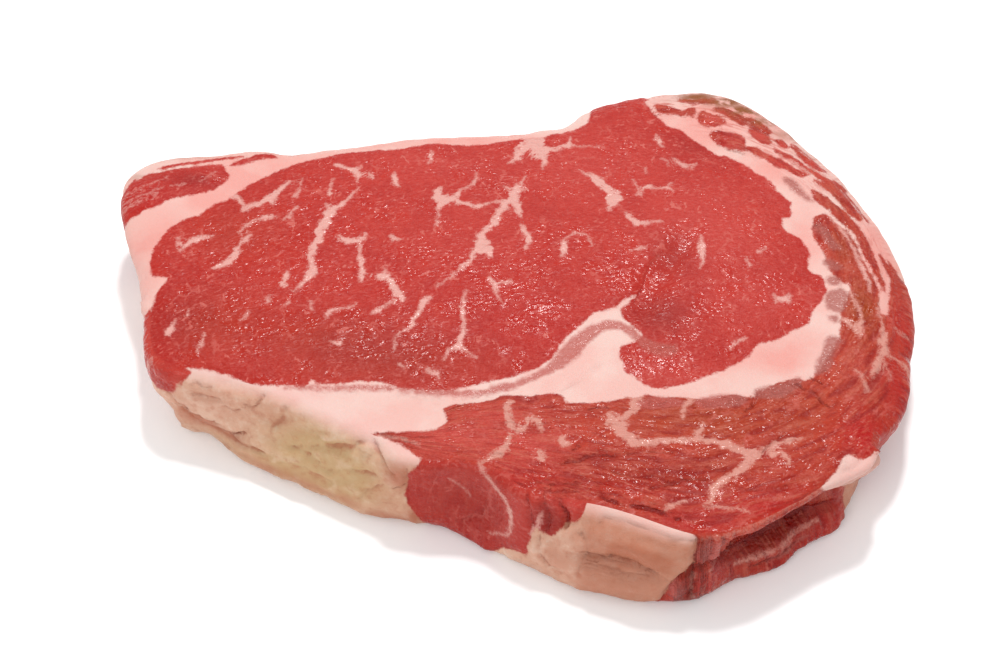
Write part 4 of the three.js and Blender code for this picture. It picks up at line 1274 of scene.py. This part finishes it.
    def lay_front_wall(self, tissues: Tissues, rows: np.ndarray, points: np.ndarray,
                       unrolled: np.ndarray, rise: np.ndarray) -> None:
        """Fills the front of the wall: fat face, lean strip, fat block and hollow by the lip."""
        lean = inside_any(unrolled, WALL_LEAN)
        veins = nearest_vein(unrolled, WALL_VEINS)
        tangent = self.tangents(unrolled[:, 0])
        reach = np.column_stack([tangent * veins.reach[:, :1], veins.reach[:, 1]])
        around, up = unrolled[:, 0], unrolled[:, 1]
        level = np.column_stack([around, up, np.zeros(len(up))])
        standing = np.column_stack([up, around, np.zeros(len(up))])
        fibres_up = np.maximum(fade(around, 140, 148), 0.999 * (around < self.grain_turn))
        grain = level * (1 - fibres_up[:, None]) + standing * fibres_up[:, None]
        gloom, sunk, cracks = self.press_creases(unrolled, level, WALL_CREASES)
        crack_reach = np.column_stack([tangent * cracks.reach[:, :1], cracks.reach[:, 1]])
        in_lean = fade(lean, -0.5, 1.2)
        in_fat = (1 - in_lean) * (1 - 0.8 * fade(around, 174, 184))
        lift = sum(swell.over(level) for swell in WALL_FAT_SWELLS) * in_fat
        tilted = np.column_stack([around, up - 0.38 * np.clip(around - 34, 0, 26), level[:, 2]])
        lift += sum(swell.over(tilted) for swell in WALL_FAT_FOLDS) * in_fat
        lift += WALL_LEAN_SWELL.over(level) * in_lean
        lift -= 0.4 * bell(lean, 0.9)
        lift += sum(knob.over(unrolled) for knob in WALL_KNOBS)
        lift += sum(roll.over(around, up) for roll in WALL_ROLLS)
        strip_end = bell(around - 107.5, 6.0) * fade(up, 12, 17)
        lift += strip_end * STRIP_END_FOLDS.over(level)
        membrane = bell(around - 150, 7.0) * fade(up, 12, 15)
        lift += membrane * MEMBRANE_FOLDS.over(level)
        fibres = fade(around, 143, 147) * fade(196 - around, 0, 6) * fade(18 - up, 0, 4)
        lift += fibres * UPRIGHT_FIBRES.over(level)
        flap = bell(around - 188, 6.0) * fade(up, 10, 16) * fade(196 - around, 0, 5)
        lift += flap * (0.7 * bell(up - 21, 4.0) + WALL_FLAP_SWELL.over(level))
        rise[rows] = (lift + sunk) * fade(up, 0, 2.5)
        rim_fat = fade(up, 19, 25) * (1 - fade(around, 58, 70))
        ruddy_block = 0.3 * fade(around, 98, 106) + 0.5 * fade(around, 114, 120)
        # The relief height is kept for painted light on the rind: paler on lumps, darker in
        # hollows.
        tissues.put(
            rows, lean=lean, cap=0.4 + 0.6 * fade(around, 110, 140),
            film=4 * stained(unrolled, WALL_FILM) - 2.4,
            vein_reach=reach, vein_gap=veins.gap - self.point_spacing, vein_half=veins.half,
            grain=grain, brown=np.zeros(len(up)), scarlet=stained(unrolled, WALL_SCARLET),
            rosy=np.maximum(0.4 * rim_fat, stained(unrolled, WALL_ROSY)),
            dusky=np.minimum(stained(unrolled, WALL_DUSKY_AND_SHADE), 1),
            rind=fade(25.6 - up, 0, 3.5) * fade(around, -6, 6)
            * (1 - 0.55 * bell(around - 189, 8.0) * fade(up, 12, 16)),
            olive=stained(unrolled, WALL_OLIVE), gloom=gloom,
            raised=(lift + sunk) * (1 - 0.9 * fade(around, 112, 118)),
            ruddy=np.maximum(stained(unrolled, WALL_RUDDY_AND_SHADE), ruddy_block),
            crack_reach=crack_reach, crack_half=cracks.half, wet=0.3 * in_lean,
            crack_gap=cracks.gap - self.point_spacing,
        )

    def lay_hidden_wall(self, tissues: Tissues, rows: np.ndarray, points: np.ndarray,
                        unrolled: np.ndarray, rise: np.ndarray) -> None:
        """Fills the back and right of the wall from the muscles that reach the rim there."""
        level = np.column_stack([unrolled, np.zeros(len(rows))])
        slip = 1.5 * rough(level, (14.0, 10.0, 9.0), 3.3)
        centre = points[:, :2].mean(0)
        inward = centre - points[:, :2]
        inward /= np.hypot(*inward.T)[:, None]
        flat = points[:, :2] + inward * (1.6 + slip)[:, None] * 0.8
        inside = self.plan(tissues, rows, flat, points, flat)
        grain = np.column_stack([unrolled[:, 1] * 0.8, unrolled[:, 0], np.zeros(len(rows))])
        lean = tissues.lean[rows]
        in_lean = fade(lean, -0.5, 1.5)
        lift = sum(swell.over(level) for swell in HIDDEN_SWELLS)
        lift += HIDDEN_LEAN_SWELL.over(level) * in_lean
        lift -= 0.35 * bell(lean, 0.9)
        lift -= 0.35 * bell(unrolled[:, 1] - 12 - 3 * rough(level, 22.0, 31.0), 1.2)
        rise[rows] = lift * fade(unrolled[:, 1], 0, 2.5)
        tissues.put(rows, grain=grain, raised=lift, film=inside["film"] - 8,
                    rind=0.5 * fade(24 - unrolled[:, 1], 0, 6), gloom=np.zeros(len(rows)),
                    ruddy=0.3 * fade(rough(level, 12.0, 51.0), 0.1, 0.5))

    def perimeter(self) -> float:
        """The length round the foot, in millimetres."""
        return float(np.hypot(*(np.roll(self.foot, -1, 0) - self.foot).T).sum())

    def tangents(self, around: np.ndarray) -> np.ndarray:
        """The direction round the foot at each length round it."""
        hops = np.roll(self.foot, -1, 0) - self.foot
        long = np.hypot(*hops.T)
        starts = np.concatenate([[0], np.cumsum(long)[:-1]])
        index = np.searchsorted(starts, np.mod(around, self.perimeter()), side="right") - 1
        return hops[index] / long[index, None]

    @staticmethod
    def press_creases(flat: np.ndarray, points: np.ndarray,
                      creases: Iterable[Crease]) -> tuple[np.ndarray, np.ndarray, Nearest]:
        """Works out how creases sink a surface and how much painted shade darkens them.

        Args:
            flat: The points in the plane of the creases.
            points: The points in space, for unevenness.
            creases: The creases.

        Returns:
            The painted shade from 0 to 1, the height change in millimetres, and the nearest crease.
        """
        wander = 0.35 * np.column_stack([rough(points, 3.0, 21.0), rough(points, 3.0, 24.0)])
        gloom = np.zeros(len(flat))
        sunk = np.zeros(len(flat))
        closest = Nearest(np.full(len(flat), 99.0), np.full((len(flat), 2), 99.0),
                          np.zeros(len(flat)), np.zeros(len(flat)), np.zeros(len(flat)))
        for crease in creases:
            line = round_off(np.array(crease.course, float), False, 3)
            starts, ends = steps_of(line, False)
            near = nearest_on(flat + wander, starts, ends)
            width = np.maximum(near.half, 0.3)
            sunk -= crease.depth * bell(near.gap, width)
            sunk += 0.5 * crease.step * near.side * bell(near.gap, 3.2 * width)
            shaded = crease.gloom * bell(near.gap, 3.0)
            closer = near.gap < closest.gap
            gloom = np.where(closer, shaded, gloom)
            closest.gap[closer] = near.gap[closer]
            closest.reach[closer] = near.reach[closer]
            closest.half[closer] = 0.34 * near.half[closer]
        return gloom, sunk, closest


def read_points(mesh: bpy.types.Mesh) -> np.ndarray:
    """The mesh's points, as rows, in millimetres."""
    co = np.zeros(len(mesh.vertices) * 3)
    mesh.vertices.foreach_get("co", co)
    return co.reshape(-1, 3) / MM


def write_points(mesh: bpy.types.Mesh, points: np.ndarray) -> None:
    """Puts the mesh's points at these places, in millimetres."""
    mesh.vertices.foreach_set("co", (points * MM).ravel())
    mesh.update()


def read_normals(mesh: bpy.types.Mesh) -> np.ndarray:
    """The outward direction at each point of the mesh."""
    normals = np.zeros(len(mesh.vertices) * 3)
    mesh.vertices.foreach_get("normal", normals)
    return normals.reshape(-1, 3)


def read_attribute(mesh: bpy.types.Mesh, name: str) -> np.ndarray:
    """A number kept at each point of the mesh."""
    values = np.zeros(len(mesh.vertices))
    mesh.attributes[name].data.foreach_get("value", values)
    return values


def write_attribute(mesh: bpy.types.Mesh, name: str, values: np.ndarray) -> None:
    """Keeps a number or a vector at each point of the mesh."""
    wide = values.ndim == 2
    made = mesh.attributes.new(name, "FLOAT_VECTOR" if wide else "FLOAT", "POINT")
    made.data.foreach_set("vector" if wide else "value", values.astype(np.float32).ravel())


# ---------------------------------------------------------------------------
# Finish
# ---------------------------------------------------------------------------

Colour = tuple[float, float, float, float]

TOP_LIGHT = 1.45
WALL_LIGHT = 1.24
SHEEN = 0.033


def seen(red: int, green: int, blue: int, light: float = TOP_LIGHT) -> Colour:
    """Works out the colour of a moist surface that shows as a given tone under the lamps.

    Args:
        red: Red of the tone, 0 to 255.
        green: Green of the tone, 0 to 255.
        blue: Blue of the tone, 0 to 255.
        light: How much light falls on the surface.

    Returns:
        Red, green, blue and one.
    """
    amounts = []
    for value in (red, green, blue):
        part = value / 255
        linear = part / 12.92 if part <= 0.04045 else ((part + 0.055) / 1.055) ** 2.4
        amounts.append(max((linear - SHEEN) / light, 0.003))
    return (*amounts, 1.0)


class Amount:
    """A number that varies over a surface. Arithmetic on it adds the nodes that work it out."""

    def __init__(self, bench: "Bench", socket: bpy.types.NodeSocket) -> None:
        """Wraps a socket that gives a number."""
        self.bench = bench
        self.socket = socket

    def __add__(self, other: "Amount | float") -> "Amount":
        """Their sum."""
        return self.bench.maths("ADD", self, other)

    __radd__ = __add__

    def __sub__(self, other: "Amount | float") -> "Amount":
        """This less the other."""
        return self.bench.maths("SUBTRACT", self, other)

    def __rsub__(self, other: float) -> "Amount":
        """The other less this."""
        return self.bench.maths("SUBTRACT", other, self)

    def __mul__(self, other: "Amount | float") -> "Amount":
        """Their product."""
        return self.bench.maths("MULTIPLY", self, other)

    __rmul__ = __mul__

    def most(self, other: "Amount | float") -> "Amount":
        """The larger of the two."""
        return self.bench.maths("MAXIMUM", self, other)

    def least(self, other: "Amount | float") -> "Amount":
        """The smaller of the two."""
        return self.bench.maths("MINIMUM", self, other)

    def rise(self, low: float, high: float) -> "Amount":
        """Rises smoothly from 0 at low to 1 at high."""
        node = self.bench.node(
            "ShaderNodeMapRange", {"interpolation_type": "SMOOTHSTEP", "clamp": True},
            {"Value": self, "From Min": low, "From Max": high},
        )
        return Amount(self.bench, node.outputs["Result"])


Fed = Amount | bpy.types.NodeSocket | float | tuple


class Bench:
    """Adds nodes to a material."""

    def __init__(self, tree: bpy.types.NodeTree) -> None:
        """Starts with an empty tree."""
        self.tree = tree
        tree.nodes.clear()

    def node(self, kind: str, settings: dict[str, object] | None = None,
             inputs: dict[str | int, Fed] | None = None) -> bpy.types.Node:
        """Adds a node.

        Args:
            kind: Its type.
            settings: Its own settings, set first.
            inputs: What goes into its sockets, by name or number: a link or a plain value.

        Returns:
            The node.
        """
        made = self.tree.nodes.new(kind)
        for name, value in (settings or {}).items():
            setattr(made, name, value)
        for name, value in (inputs or {}).items():
            self.feed(made.inputs[name], value)
        return made

    def feed(self, socket: bpy.types.NodeSocket, value: Fed) -> None:
        """Links a value to a socket, or sets it there."""
        if isinstance(value, Amount):
            self.tree.links.new(value.socket, socket)
        elif isinstance(value, bpy.types.NodeSocket):
            self.tree.links.new(value, socket)
        else:
            socket.default_value = value

    def maths(self, operation: str, *values: Fed) -> Amount:
        """Works out one step of arithmetic on numbers."""
        made = self.node("ShaderNodeMath", {"operation": operation}, dict(enumerate(values)))
        return Amount(self, made.outputs[0])

    def vectors(self, operation: str, *values: Fed) -> bpy.types.NodeSocket:
        """Works out one step of arithmetic on vectors."""
        made = self.node("ShaderNodeVectorMath", {"operation": operation}, dict(enumerate(values)))
        return made.outputs[0]

    def length(self, vector: bpy.types.NodeSocket) -> Amount:
        """The length of a vector."""
        made = self.node("ShaderNodeVectorMath", {"operation": "LENGTH"}, {0: vector})
        return Amount(self, made.outputs["Value"])

    def stretch(self, vector: bpy.types.NodeSocket, x: float, y: float,
                z: float) -> bpy.types.NodeSocket:
        """A vector with each part multiplied."""
        return self.vectors("MULTIPLY", vector, (x, y, z))

    def kept(self, name: str) -> Amount:
        """The number that the mesh keeps under a name."""
        made = self.node("ShaderNodeAttribute", {"attribute_name": name})
        return Amount(self, made.outputs["Fac"])

    def kept_vector(self, name: str) -> bpy.types.NodeSocket:
        """The vector that the mesh keeps under a name."""
        return self.node("ShaderNodeAttribute", {"attribute_name": name}).outputs["Vector"]

    def part(self, vector: bpy.types.NodeSocket, axis: str) -> Amount:
        """One part of a vector."""
        made = self.node("ShaderNodeSeparateXYZ", None, {0: vector})
        return Amount(self, made.outputs[axis])

    def cloud(self, vector: bpy.types.NodeSocket, scale: float, detail: float = 2.0,
              roughness: float = 0.5) -> Amount:
        """Smooth random values from 0 to 1, one swell in each 1/scale."""
        made = self.node(
            "ShaderNodeTexNoise", None,
            {"Vector": vector, "Scale": scale, "Detail": detail, "Roughness": roughness},
        )
        return Amount(self, made.outputs["Fac"])

    def drift(self, place: bpy.types.NodeSocket, scale: float, detail: float,
              reach: tuple[float, float, float]) -> bpy.types.NodeSocket:
        """A random way to stray from each spot, up to half the reach along each axis."""
        swirl = self.node(
            "ShaderNodeTexNoise", None, {"Vector": place, "Scale": scale, "Detail": detail}
        )
        centred = self.vectors("SUBTRACT", swirl.outputs["Color"], (0.5, 0.5, 0.5))
        return self.stretch(centred, *reach)

    def mix(self, share: Fed, first: Fed, second: Fed, blend: str = "MIX") -> bpy.types.NodeSocket:
        """Mixes two colours.

        Args:
            share: How much of the second there is.
            first: The first colour.
            second: The second colour.
            blend: How the second lies over the first.

        Returns:
            The mixed colour.
        """
        made = self.node(
            "ShaderNodeMix", {"data_type": "RGBA", "blend_type": blend},
            {0: share, 6: first, 7: second},
        )
        return made.outputs[2]


@dataclass(frozen=True)
class RawBeef:
    """The look of raw beef: lean, fat and film, moist all over."""

    name: str = "raw_beef_look"
    eye: Colour = seen(203, 72, 65)
    eye_deep: Colour = seen(176, 54, 46)
    eye_pale: Colour = seen(226, 124, 114)
    cap: Colour = seen(200, 82, 68)
    # The cap's deep and pale tones also paint shade in the troughs and highlight on the crests of
    # its wrinkles.
    cap_deep: Colour = seen(156, 46, 36)
    cap_pale: Colour = seen(216, 124, 104)
    browned: Colour = seen(172, 80, 50)
    tanned: Colour = seen(160, 98, 66)
    streak: Colour = seen(206, 86, 74)
    scarlet: Colour = seen(196, 52, 44)
    rosy: Colour = seen(220, 91, 84)
    # A darker tone of the lean, and on the wall also painted shade in the hollow under the lip.
    dusky: Colour = seen(128, 30, 22)
    fat: Colour = seen(249, 210, 200)
    fat_pink: Colour = seen(247, 176, 166)
    vein: Colour = seen(240, 178, 168)
    vein_dull: Colour = seen(228, 158, 144)
    rind: Colour = seen(227, 183, 160, WALL_LIGHT)
    # The pale rind is also the painted highlight on raised lumps of the rind.
    rind_pale: Colour = seen(237, 206, 186, WALL_LIGHT)
    rind_olive: Colour = seen(194, 162, 114, WALL_LIGHT)
    # The ruddy rind is also painted shade in hollows and along the bottom of the fat face.
    rind_ruddy: Colour = seen(182, 112, 88, WALL_LIGHT)
    film: Colour = seen(200, 106, 98)
    film_dull: Colour = seen(186, 108, 100)
    # Painted shade: the colours of crease floors, on lean and on fat.
    gloom: Colour = seen(132, 32, 26)
    fat_gloom: Colour = seen(140, 72, 50)
    dry: float = 0.5
    shine: float = 0.34
    index: float = 1.45
    gloss: float = 0.23
    glow: float = 0.08
    glow_depth: float = 0.0015
    glow_tint: tuple[float, float, float] = (1.0, 0.35, 0.25)

    def make(self) -> bpy.types.Material:
        """Builds the material.

        Returns:
            The material, ready for the steak.
        """
        material = bpy.data.materials.new(self.name)
        material.use_nodes = True
        bench = Bench(material.node_tree)
        place = bench.stretch(bench.node("ShaderNodeTexCoord").outputs["Object"], 1000, 1000, 1000)
        ragged = bench.cloud(place, 0.55, 3.0) - 0.5
        fine = bench.cloud(place, 2.4, 2.0) - 0.5
        grit = bench.cloud(bench.stretch(place, 0.75, 1.15, 1.0), 1.15, 3.0, 0.62)
        grain = bench.kept_vector("grain")
        cap = bench.kept("cap")
        lean = (bench.kept("lean") + ragged * 1.6 + fine * 0.8).rise(-0.4, 0.45)
        vein = self.veins(bench, place, fine) * lean
        film = (bench.kept("film") + ragged * 1.8 + fine * 0.6).rise(-0.9, 0.6)
        crack = self.cracks(bench, place, fine)
        calm = bench.kept("calm")
        streaks = bench.cloud(bench.stretch(grain, 0.2, 1.25, 1.25), 1.0, 3.0, 0.6)
        streaks = 0.5 + (streaks - 0.5) * calm
        crepe = bench.cloud(bench.stretch(grain, 0.13, 0.52, 0.52), 1.0, 1.4, 0.5)
        crepe = 0.5 + (crepe - 0.5) * calm
        muscle = self.muscle(bench, place, grit, streaks, crepe)
        base = bench.mix(lean, self.fat_colour(bench, place, streaks), muscle)
        front = 1 - bench.part(place, "Y").rise(-16, 14)
        base = bench.mix(vein, base, bench.mix(front * cap, self.vein, self.vein_dull))
        patchy = bench.cloud(place, 0.3, 3.0).rise(0.34, 0.56)
        base = bench.mix(bench.kept("tanned") * patchy * 0.8, base, self.tanned)
        membrane = bench.mix(bench.part(place, "X").rise(44, 58), self.film, self.film_dull)
        base = bench.mix(film * (0.7 + grit * 0.25), base, membrane)
        # Painted shade: the floors of creases are darkened in the colour.
        shadow = (crack * bench.kept("gloom")).least(0.75)
        base = bench.mix(shadow, base, bench.mix(lean, self.fat_gloom, self.gloom))
        pools = bench.cloud(place, 0.12, 3.0).rise(0.46, 0.62)
        beads = bench.cloud(place, 0.5, 2.0).rise(0.4, 0.6)
        moist = 0.16 + pools * 0.5 + bench.kept("wet") * 0.9 + film * 0.4
        moist = moist * (0.2 + beads * 0.8)
        wet = moist.rise(0.06, 0.5)
        roughness = self.dry - wet * (lean * self.shine + film * self.shine).least(self.shine)
        swells = bench.cloud(bench.stretch(place, 0.8, 1.1, 1.0), 1.0, 1.0, 0.4) - 0.5
        dash = bench.cloud(bench.stretch(grain, 0.45, 1.5, 1.5), 1.0, 2.0, 0.55)
        dash = (dash - 0.5) * calm * (1 - cap)
        soaked = bench.kept("wet").least(1.0)
        beaded = bench.cloud(place, 0.45, 1.0, 0.5) - 0.5
        folds = (crepe - 0.5) * cap * (0.75 + wet * 0.35)
        meaty = swells * 0.38 + folds + dash * 0.1
        meaty = meaty + (grit - 0.5) * (1 - wet * 0.85) * 0.2
        meaty = meaty * (1 - soaked * 0.4) + beaded * soaked * cap * 0.5
        uneven = (fine * 0.12 + ragged * 0.14) * (1 - lean * wet * 0.7)
        relief = lean * meaty + film * swells * 0.4 + uneven
        relief = relief - crack * (0.04 + bench.kept("gloom") * 0.26)
        bump = bench.node(
            "ShaderNodeBump", None, {"Strength": 1.0, "Distance": MM, "Height": relief}
        )
        surface = bench.node("ShaderNodeBsdfPrincipled", {"subsurface_method": "RANDOM_WALK"}, {
            "Base Color": base, "Roughness": roughness, "IOR": self.index,
            "Specular IOR Level": self.gloss, "Subsurface Weight": self.glow,
            "Subsurface Scale": self.glow_depth, "Subsurface Radius": self.glow_tint,
            "Normal": bump.outputs["Normal"],
        })
        bench.node("ShaderNodeOutputMaterial", None, {"Surface": surface.outputs[0]})
        return material

    def cracks(self, bench: Bench, place: bpy.types.NodeSocket, fine: Amount) -> Amount:
        """How deep in a crease's core a spot lies, from 0 to 1."""
        sway = bench.drift(place, 0.7, 2.0, (1.2, 1.2, 1.2))
        reach = bench.length(bench.vectors("ADD", bench.kept_vector("crack_reach"), sway))
        edge = reach.most(bench.kept("crack_gap")) - bench.kept("crack_half") - fine * 0.5
        broken = bench.cloud(place, 0.3, 2.0).rise(0.34, 0.56)
        return (1 - edge.rise(-0.25, 0.4)) * broken

    def veins(self, bench: Bench, place: bpy.types.NodeSocket, fine: Amount) -> Amount:
        """Where the veins of fat show, from 0 to 1."""
        sway = bench.drift(place, 0.5, 2.0, (2.0, 2.0, 0.6))
        reach = bench.length(bench.vectors("ADD", bench.kept_vector("vein_reach"), sway))
        half = bench.kept("vein_half")
        gap = reach.most(bench.kept("vein_gap"))
        girth = bench.cloud(place, 0.45, 3.0).rise(0.3, 0.7) * 0.8 + 0.55
        edge = gap - half * girth + 0.02 - fine * 1.4
        return (1 - edge.rise(-0.5, 0.62)) * (half * 0.9 + 0.4).least(1.0)

    def flecks(self, bench: Bench, place: bpy.types.NodeSocket, grit: Amount) -> Amount:
        """Where hair-fine lines of fat part the bundles of fibres, from 0 to 1."""
        strayed = bench.vectors("ADD", place, bench.drift(place, 0.16, 3.0, (9, 9, 9)))
        cells = bench.node(
            "ShaderNodeTexVoronoi", {"feature": "DISTANCE_TO_EDGE"},
            {"Vector": bench.stretch(strayed, 1.0, 0.8, 1.0), "Scale": 0.16},
        )
        near = Amount(bench, cells.outputs["Distance"]) - (grit - 0.5) * 0.12
        patches = bench.cloud(place, 0.15, 3.0).rise(0.5, 0.66)
        hairs = (1 - near.rise(0.015, 0.075)) * patches * 0.4
        slivers = bench.cloud(bench.stretch(strayed, 0.5, 0.24, 0.4), 1.0, 3.0, 0.6)
        bits = slivers.rise(0.62, 0.7) * (1 - bench.kept("cap") * 0.6) * 0.75
        return hairs.most(bits) * (1 - bench.kept("dusky") * 0.7)

    def muscle(self, bench: Bench, place: bpy.types.NodeSocket, grit: Amount, streaks: Amount,
               crepe: Amount) -> bpy.types.NodeSocket:
        """The colour of the lean meat.

        Args:
            bench: Where the nodes go.
            place: The spot, in millimetres.
            grit: The grain of the cut fibres, about a half.
            streaks: The streaks along the fibres, about a half.
            crepe: The wrinkles of the cap, about a half, also painted as shade and highlight.

        Returns:
            The colour.
        """
        broad = bench.cloud(place, 0.07, 2.0).rise(0.35, 0.65)
        mottle = bench.cloud(place, 0.35, 3.0).rise(0.38, 0.7)
        cap = bench.kept("cap")
        body = bench.mix(cap, self.eye, self.cap)
        deep = bench.mix(cap, self.eye_deep, self.cap_deep)
        pale = bench.mix(cap, self.eye_pale, self.cap_pale)
        colour = bench.mix(broad * 0.22 + mottle * 0.25, body, deep)
        # The dusky tone darkens the lean, and on the wall is also painted shade in the hollow under
        # the lip.
        for stain, share, tone in (("rosy", 0.75, self.rosy), ("brown", 0.75, self.browned),
                                   ("scarlet", 0.7, self.scarlet), ("dusky", 0.75, self.dusky)):
            colour = bench.mix(bench.kept(stain) * share, colour, tone)
        light = 1 - bench.kept("rosy") * 0.7
        plain = 1 - bench.kept("rind") * 0.65
        along = bench.stretch(bench.kept_vector("grain"), 0.7, 1.7, 1.7)
        speckle = bench.cloud(along, 1.0, 2.0, 0.6)
        clusters = bench.cloud(place, 0.11, 3.0).rise(0.4, 0.66)
        colour = bench.mix(speckle.rise(0.55, 0.72) * (0.15 + clusters * 0.6) * plain, colour, pale)
        flecked = (1 - speckle.rise(0.3, 0.47)) * (0.12 + clusters * 0.25) * light * plain
        colour = bench.mix(flecked, colour, deep)
        colour = bench.mix(grit.rise(0.52, 0.76) * plain * 0.25, colour, pale)
        colour = bench.mix((1 - grit.rise(0.28, 0.5)) * light * plain * 0.3, colour, deep)
        colour = bench.mix(streaks.rise(0.52, 0.76) * cap * 0.5, colour, pale)
        # Painted shade in the troughs of the cap's wrinkles and a painted highlight on their
        # crests.
        sunk = (1 - crepe.rise(0.32, 0.5)) * cap * light
        colour = bench.mix(sunk * 0.6, colour, deep)
        colour = bench.mix(crepe.rise(0.54, 0.7) * cap * 0.25, colour, pale)
        return bench.mix(self.flecks(bench, place, grit), colour, self.eye_pale)

    def fat_colour(self, bench: Bench, place: bpy.types.NodeSocket,
                   streaks: Amount) -> bpy.types.NodeSocket:
        """The colour of the fat, white-pink on the cut face and beige on the rind."""
        pinked = bench.cloud(place, 0.09, 3.0).rise(0.36, 0.62)
        mottle = bench.cloud(place, 0.45, 4.0, 0.6)
        pinkness = (pinked * 0.4 + bench.kept("pink")).least(1.0)
        fresh = bench.mix(pinkness, self.fat, self.fat_pink)
        rind = bench.mix(mottle.rise(0.5, 0.68) * 0.6, self.rind, self.rind_pale)
        rind = bench.mix((bench.kept("olive") * 0.75).least(0.75), rind, self.rind_olive)
        # A ruddier tone of the rind, with painted shade along the bottom of the fat face.
        ruddy = bench.kept("ruddy").least(1.0)
        rind = bench.mix(ruddy * 0.9, rind, self.rind_ruddy)
        # Painted highlight on the rind's raised lumps and painted shade in its hollows, set by
        # relief height.
        raised = bench.kept("raised") + (mottle - 0.5) * 0.8
        rind = bench.mix(raised.rise(0.1, 0.9) * (1 - ruddy * 0.85) * 0.4, rind, self.rind_pale)
        rind = bench.mix((1 - raised.rise(-0.9, -0.2)) * 0.6, rind, self.rind_ruddy)
        rind = bench.mix((1 - mottle.rise(0.3, 0.48)) * 0.3, rind, self.rind_ruddy)
        fresh = bench.mix(streaks.rise(0.46, 0.6) * bench.kept("streaky") * 0.7, fresh, self.streak)
        return bench.mix(bench.kept("rind"), fresh, rind)


# ---------------------------------------------------------------------------
# Studio
# ---------------------------------------------------------------------------


@dataclass(frozen=True)
class Studio:
    """A pale floor, soft light from all round with a broad key light, and the camera."""

    floor_size: float = 6.0
    aim: tuple[float, float, float] = (-0.0027, -0.0015, 0.014)
    camera_distance: float = 0.610106
    elevation: float = 50.0
    lens: float = 85.0
    sky: float = 0.78
    key_place: tuple[float, float, float] = (0.05, 0.38, 1.05)
    key_size: float = 0.13
    key_power: float = 7.8
    front_place: tuple[float, float, float] = (-0.4, -0.9, 0.8)
    front_size: float = 0.8
    front_power: float = 4.6

    def build(self) -> None:
        """Sets up floor, light and camera."""
        bpy.context.scene.view_settings.view_transform = "Standard"
        self.lay_floor()
        self.light()
        self.set_camera()

    def lay_floor(self) -> None:
        """Lays the floor."""
        bpy.ops.object.select_all(action="DESELECT")
        bpy.ops.mesh.primitive_plane_add(size=self.floor_size, location=(0, 0, 0))
        floor = bpy.context.object
        floor.name = "floor"
        material = bpy.data.materials.new("floor_paint")
        material.use_nodes = True
        bench = Bench(material.node_tree)
        paint = bench.node("ShaderNodeBsdfPrincipled", None, {
            "Base Color": (0.97, 0.97, 0.97, 1), "Roughness": 0.9, "Specular IOR Level": 0.1,
        })
        bench.node("ShaderNodeOutputMaterial", None, {"Surface": paint.outputs[0]})
        floor.data.materials.append(material)

    def light(self) -> None:
        """Hangs the lamps and sets the sky."""
        world = bpy.data.worlds.new("soft_sky")
        bpy.context.scene.world = world
        world.use_nodes = True
        world.node_tree.nodes["Background"].inputs["Color"].default_value = (1, 1, 1, 1)
        world.node_tree.nodes["Background"].inputs["Strength"].default_value = self.sky
        self.hang("key", self.key_place, self.key_size, self.key_power)
        self.hang("front", self.front_place, self.front_size, self.front_power)

    def hang(self, name: str, place: tuple[float, float, float], size: float, power: float) -> None:
        """Hangs a square lamp that faces the steak."""
        lamp = bpy.data.lights.new(name, "AREA")
        lamp.size = size
        lamp.energy = power
        hung = bpy.data.objects.new(name, lamp)
        hung.location = place
        aim = Vector(self.aim) - Vector(place)
        hung.rotation_euler = aim.to_track_quat("-Z", "Y").to_euler()
        bpy.context.scene.collection.objects.link(hung)

    def set_camera(self) -> None:
        """Places the camera on its tripod."""
        lens = bpy.data.cameras.new("camera")
        lens.lens = self.lens
        camera = bpy.data.objects.new("camera", lens)
        tilt = math.radians(self.elevation)
        back = Vector((0, -math.cos(tilt), math.sin(tilt)))
        camera.location = Vector(self.aim) + back * self.camera_distance
        camera.rotation_euler = (math.radians(90 - self.elevation), 0, 0)
        bpy.context.scene.collection.objects.link(camera)
        bpy.context.scene.camera = camera


def main() -> None:
    """Builds the steak and its studio."""
    logging.basicConfig(level=logging.INFO, format="%(message)s")
    steak = Steak(frame["nodes"][NODE]).build()
    steak.data.materials.append(RawBeef().make())
    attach(steak, "root")
    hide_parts(NODE)
    log.info("steak: %d faces", len(steak.data.polygons))
    Studio().build()
    log.info("studio: floor, lamps and camera")


if __name__ == "__main__":
    main()
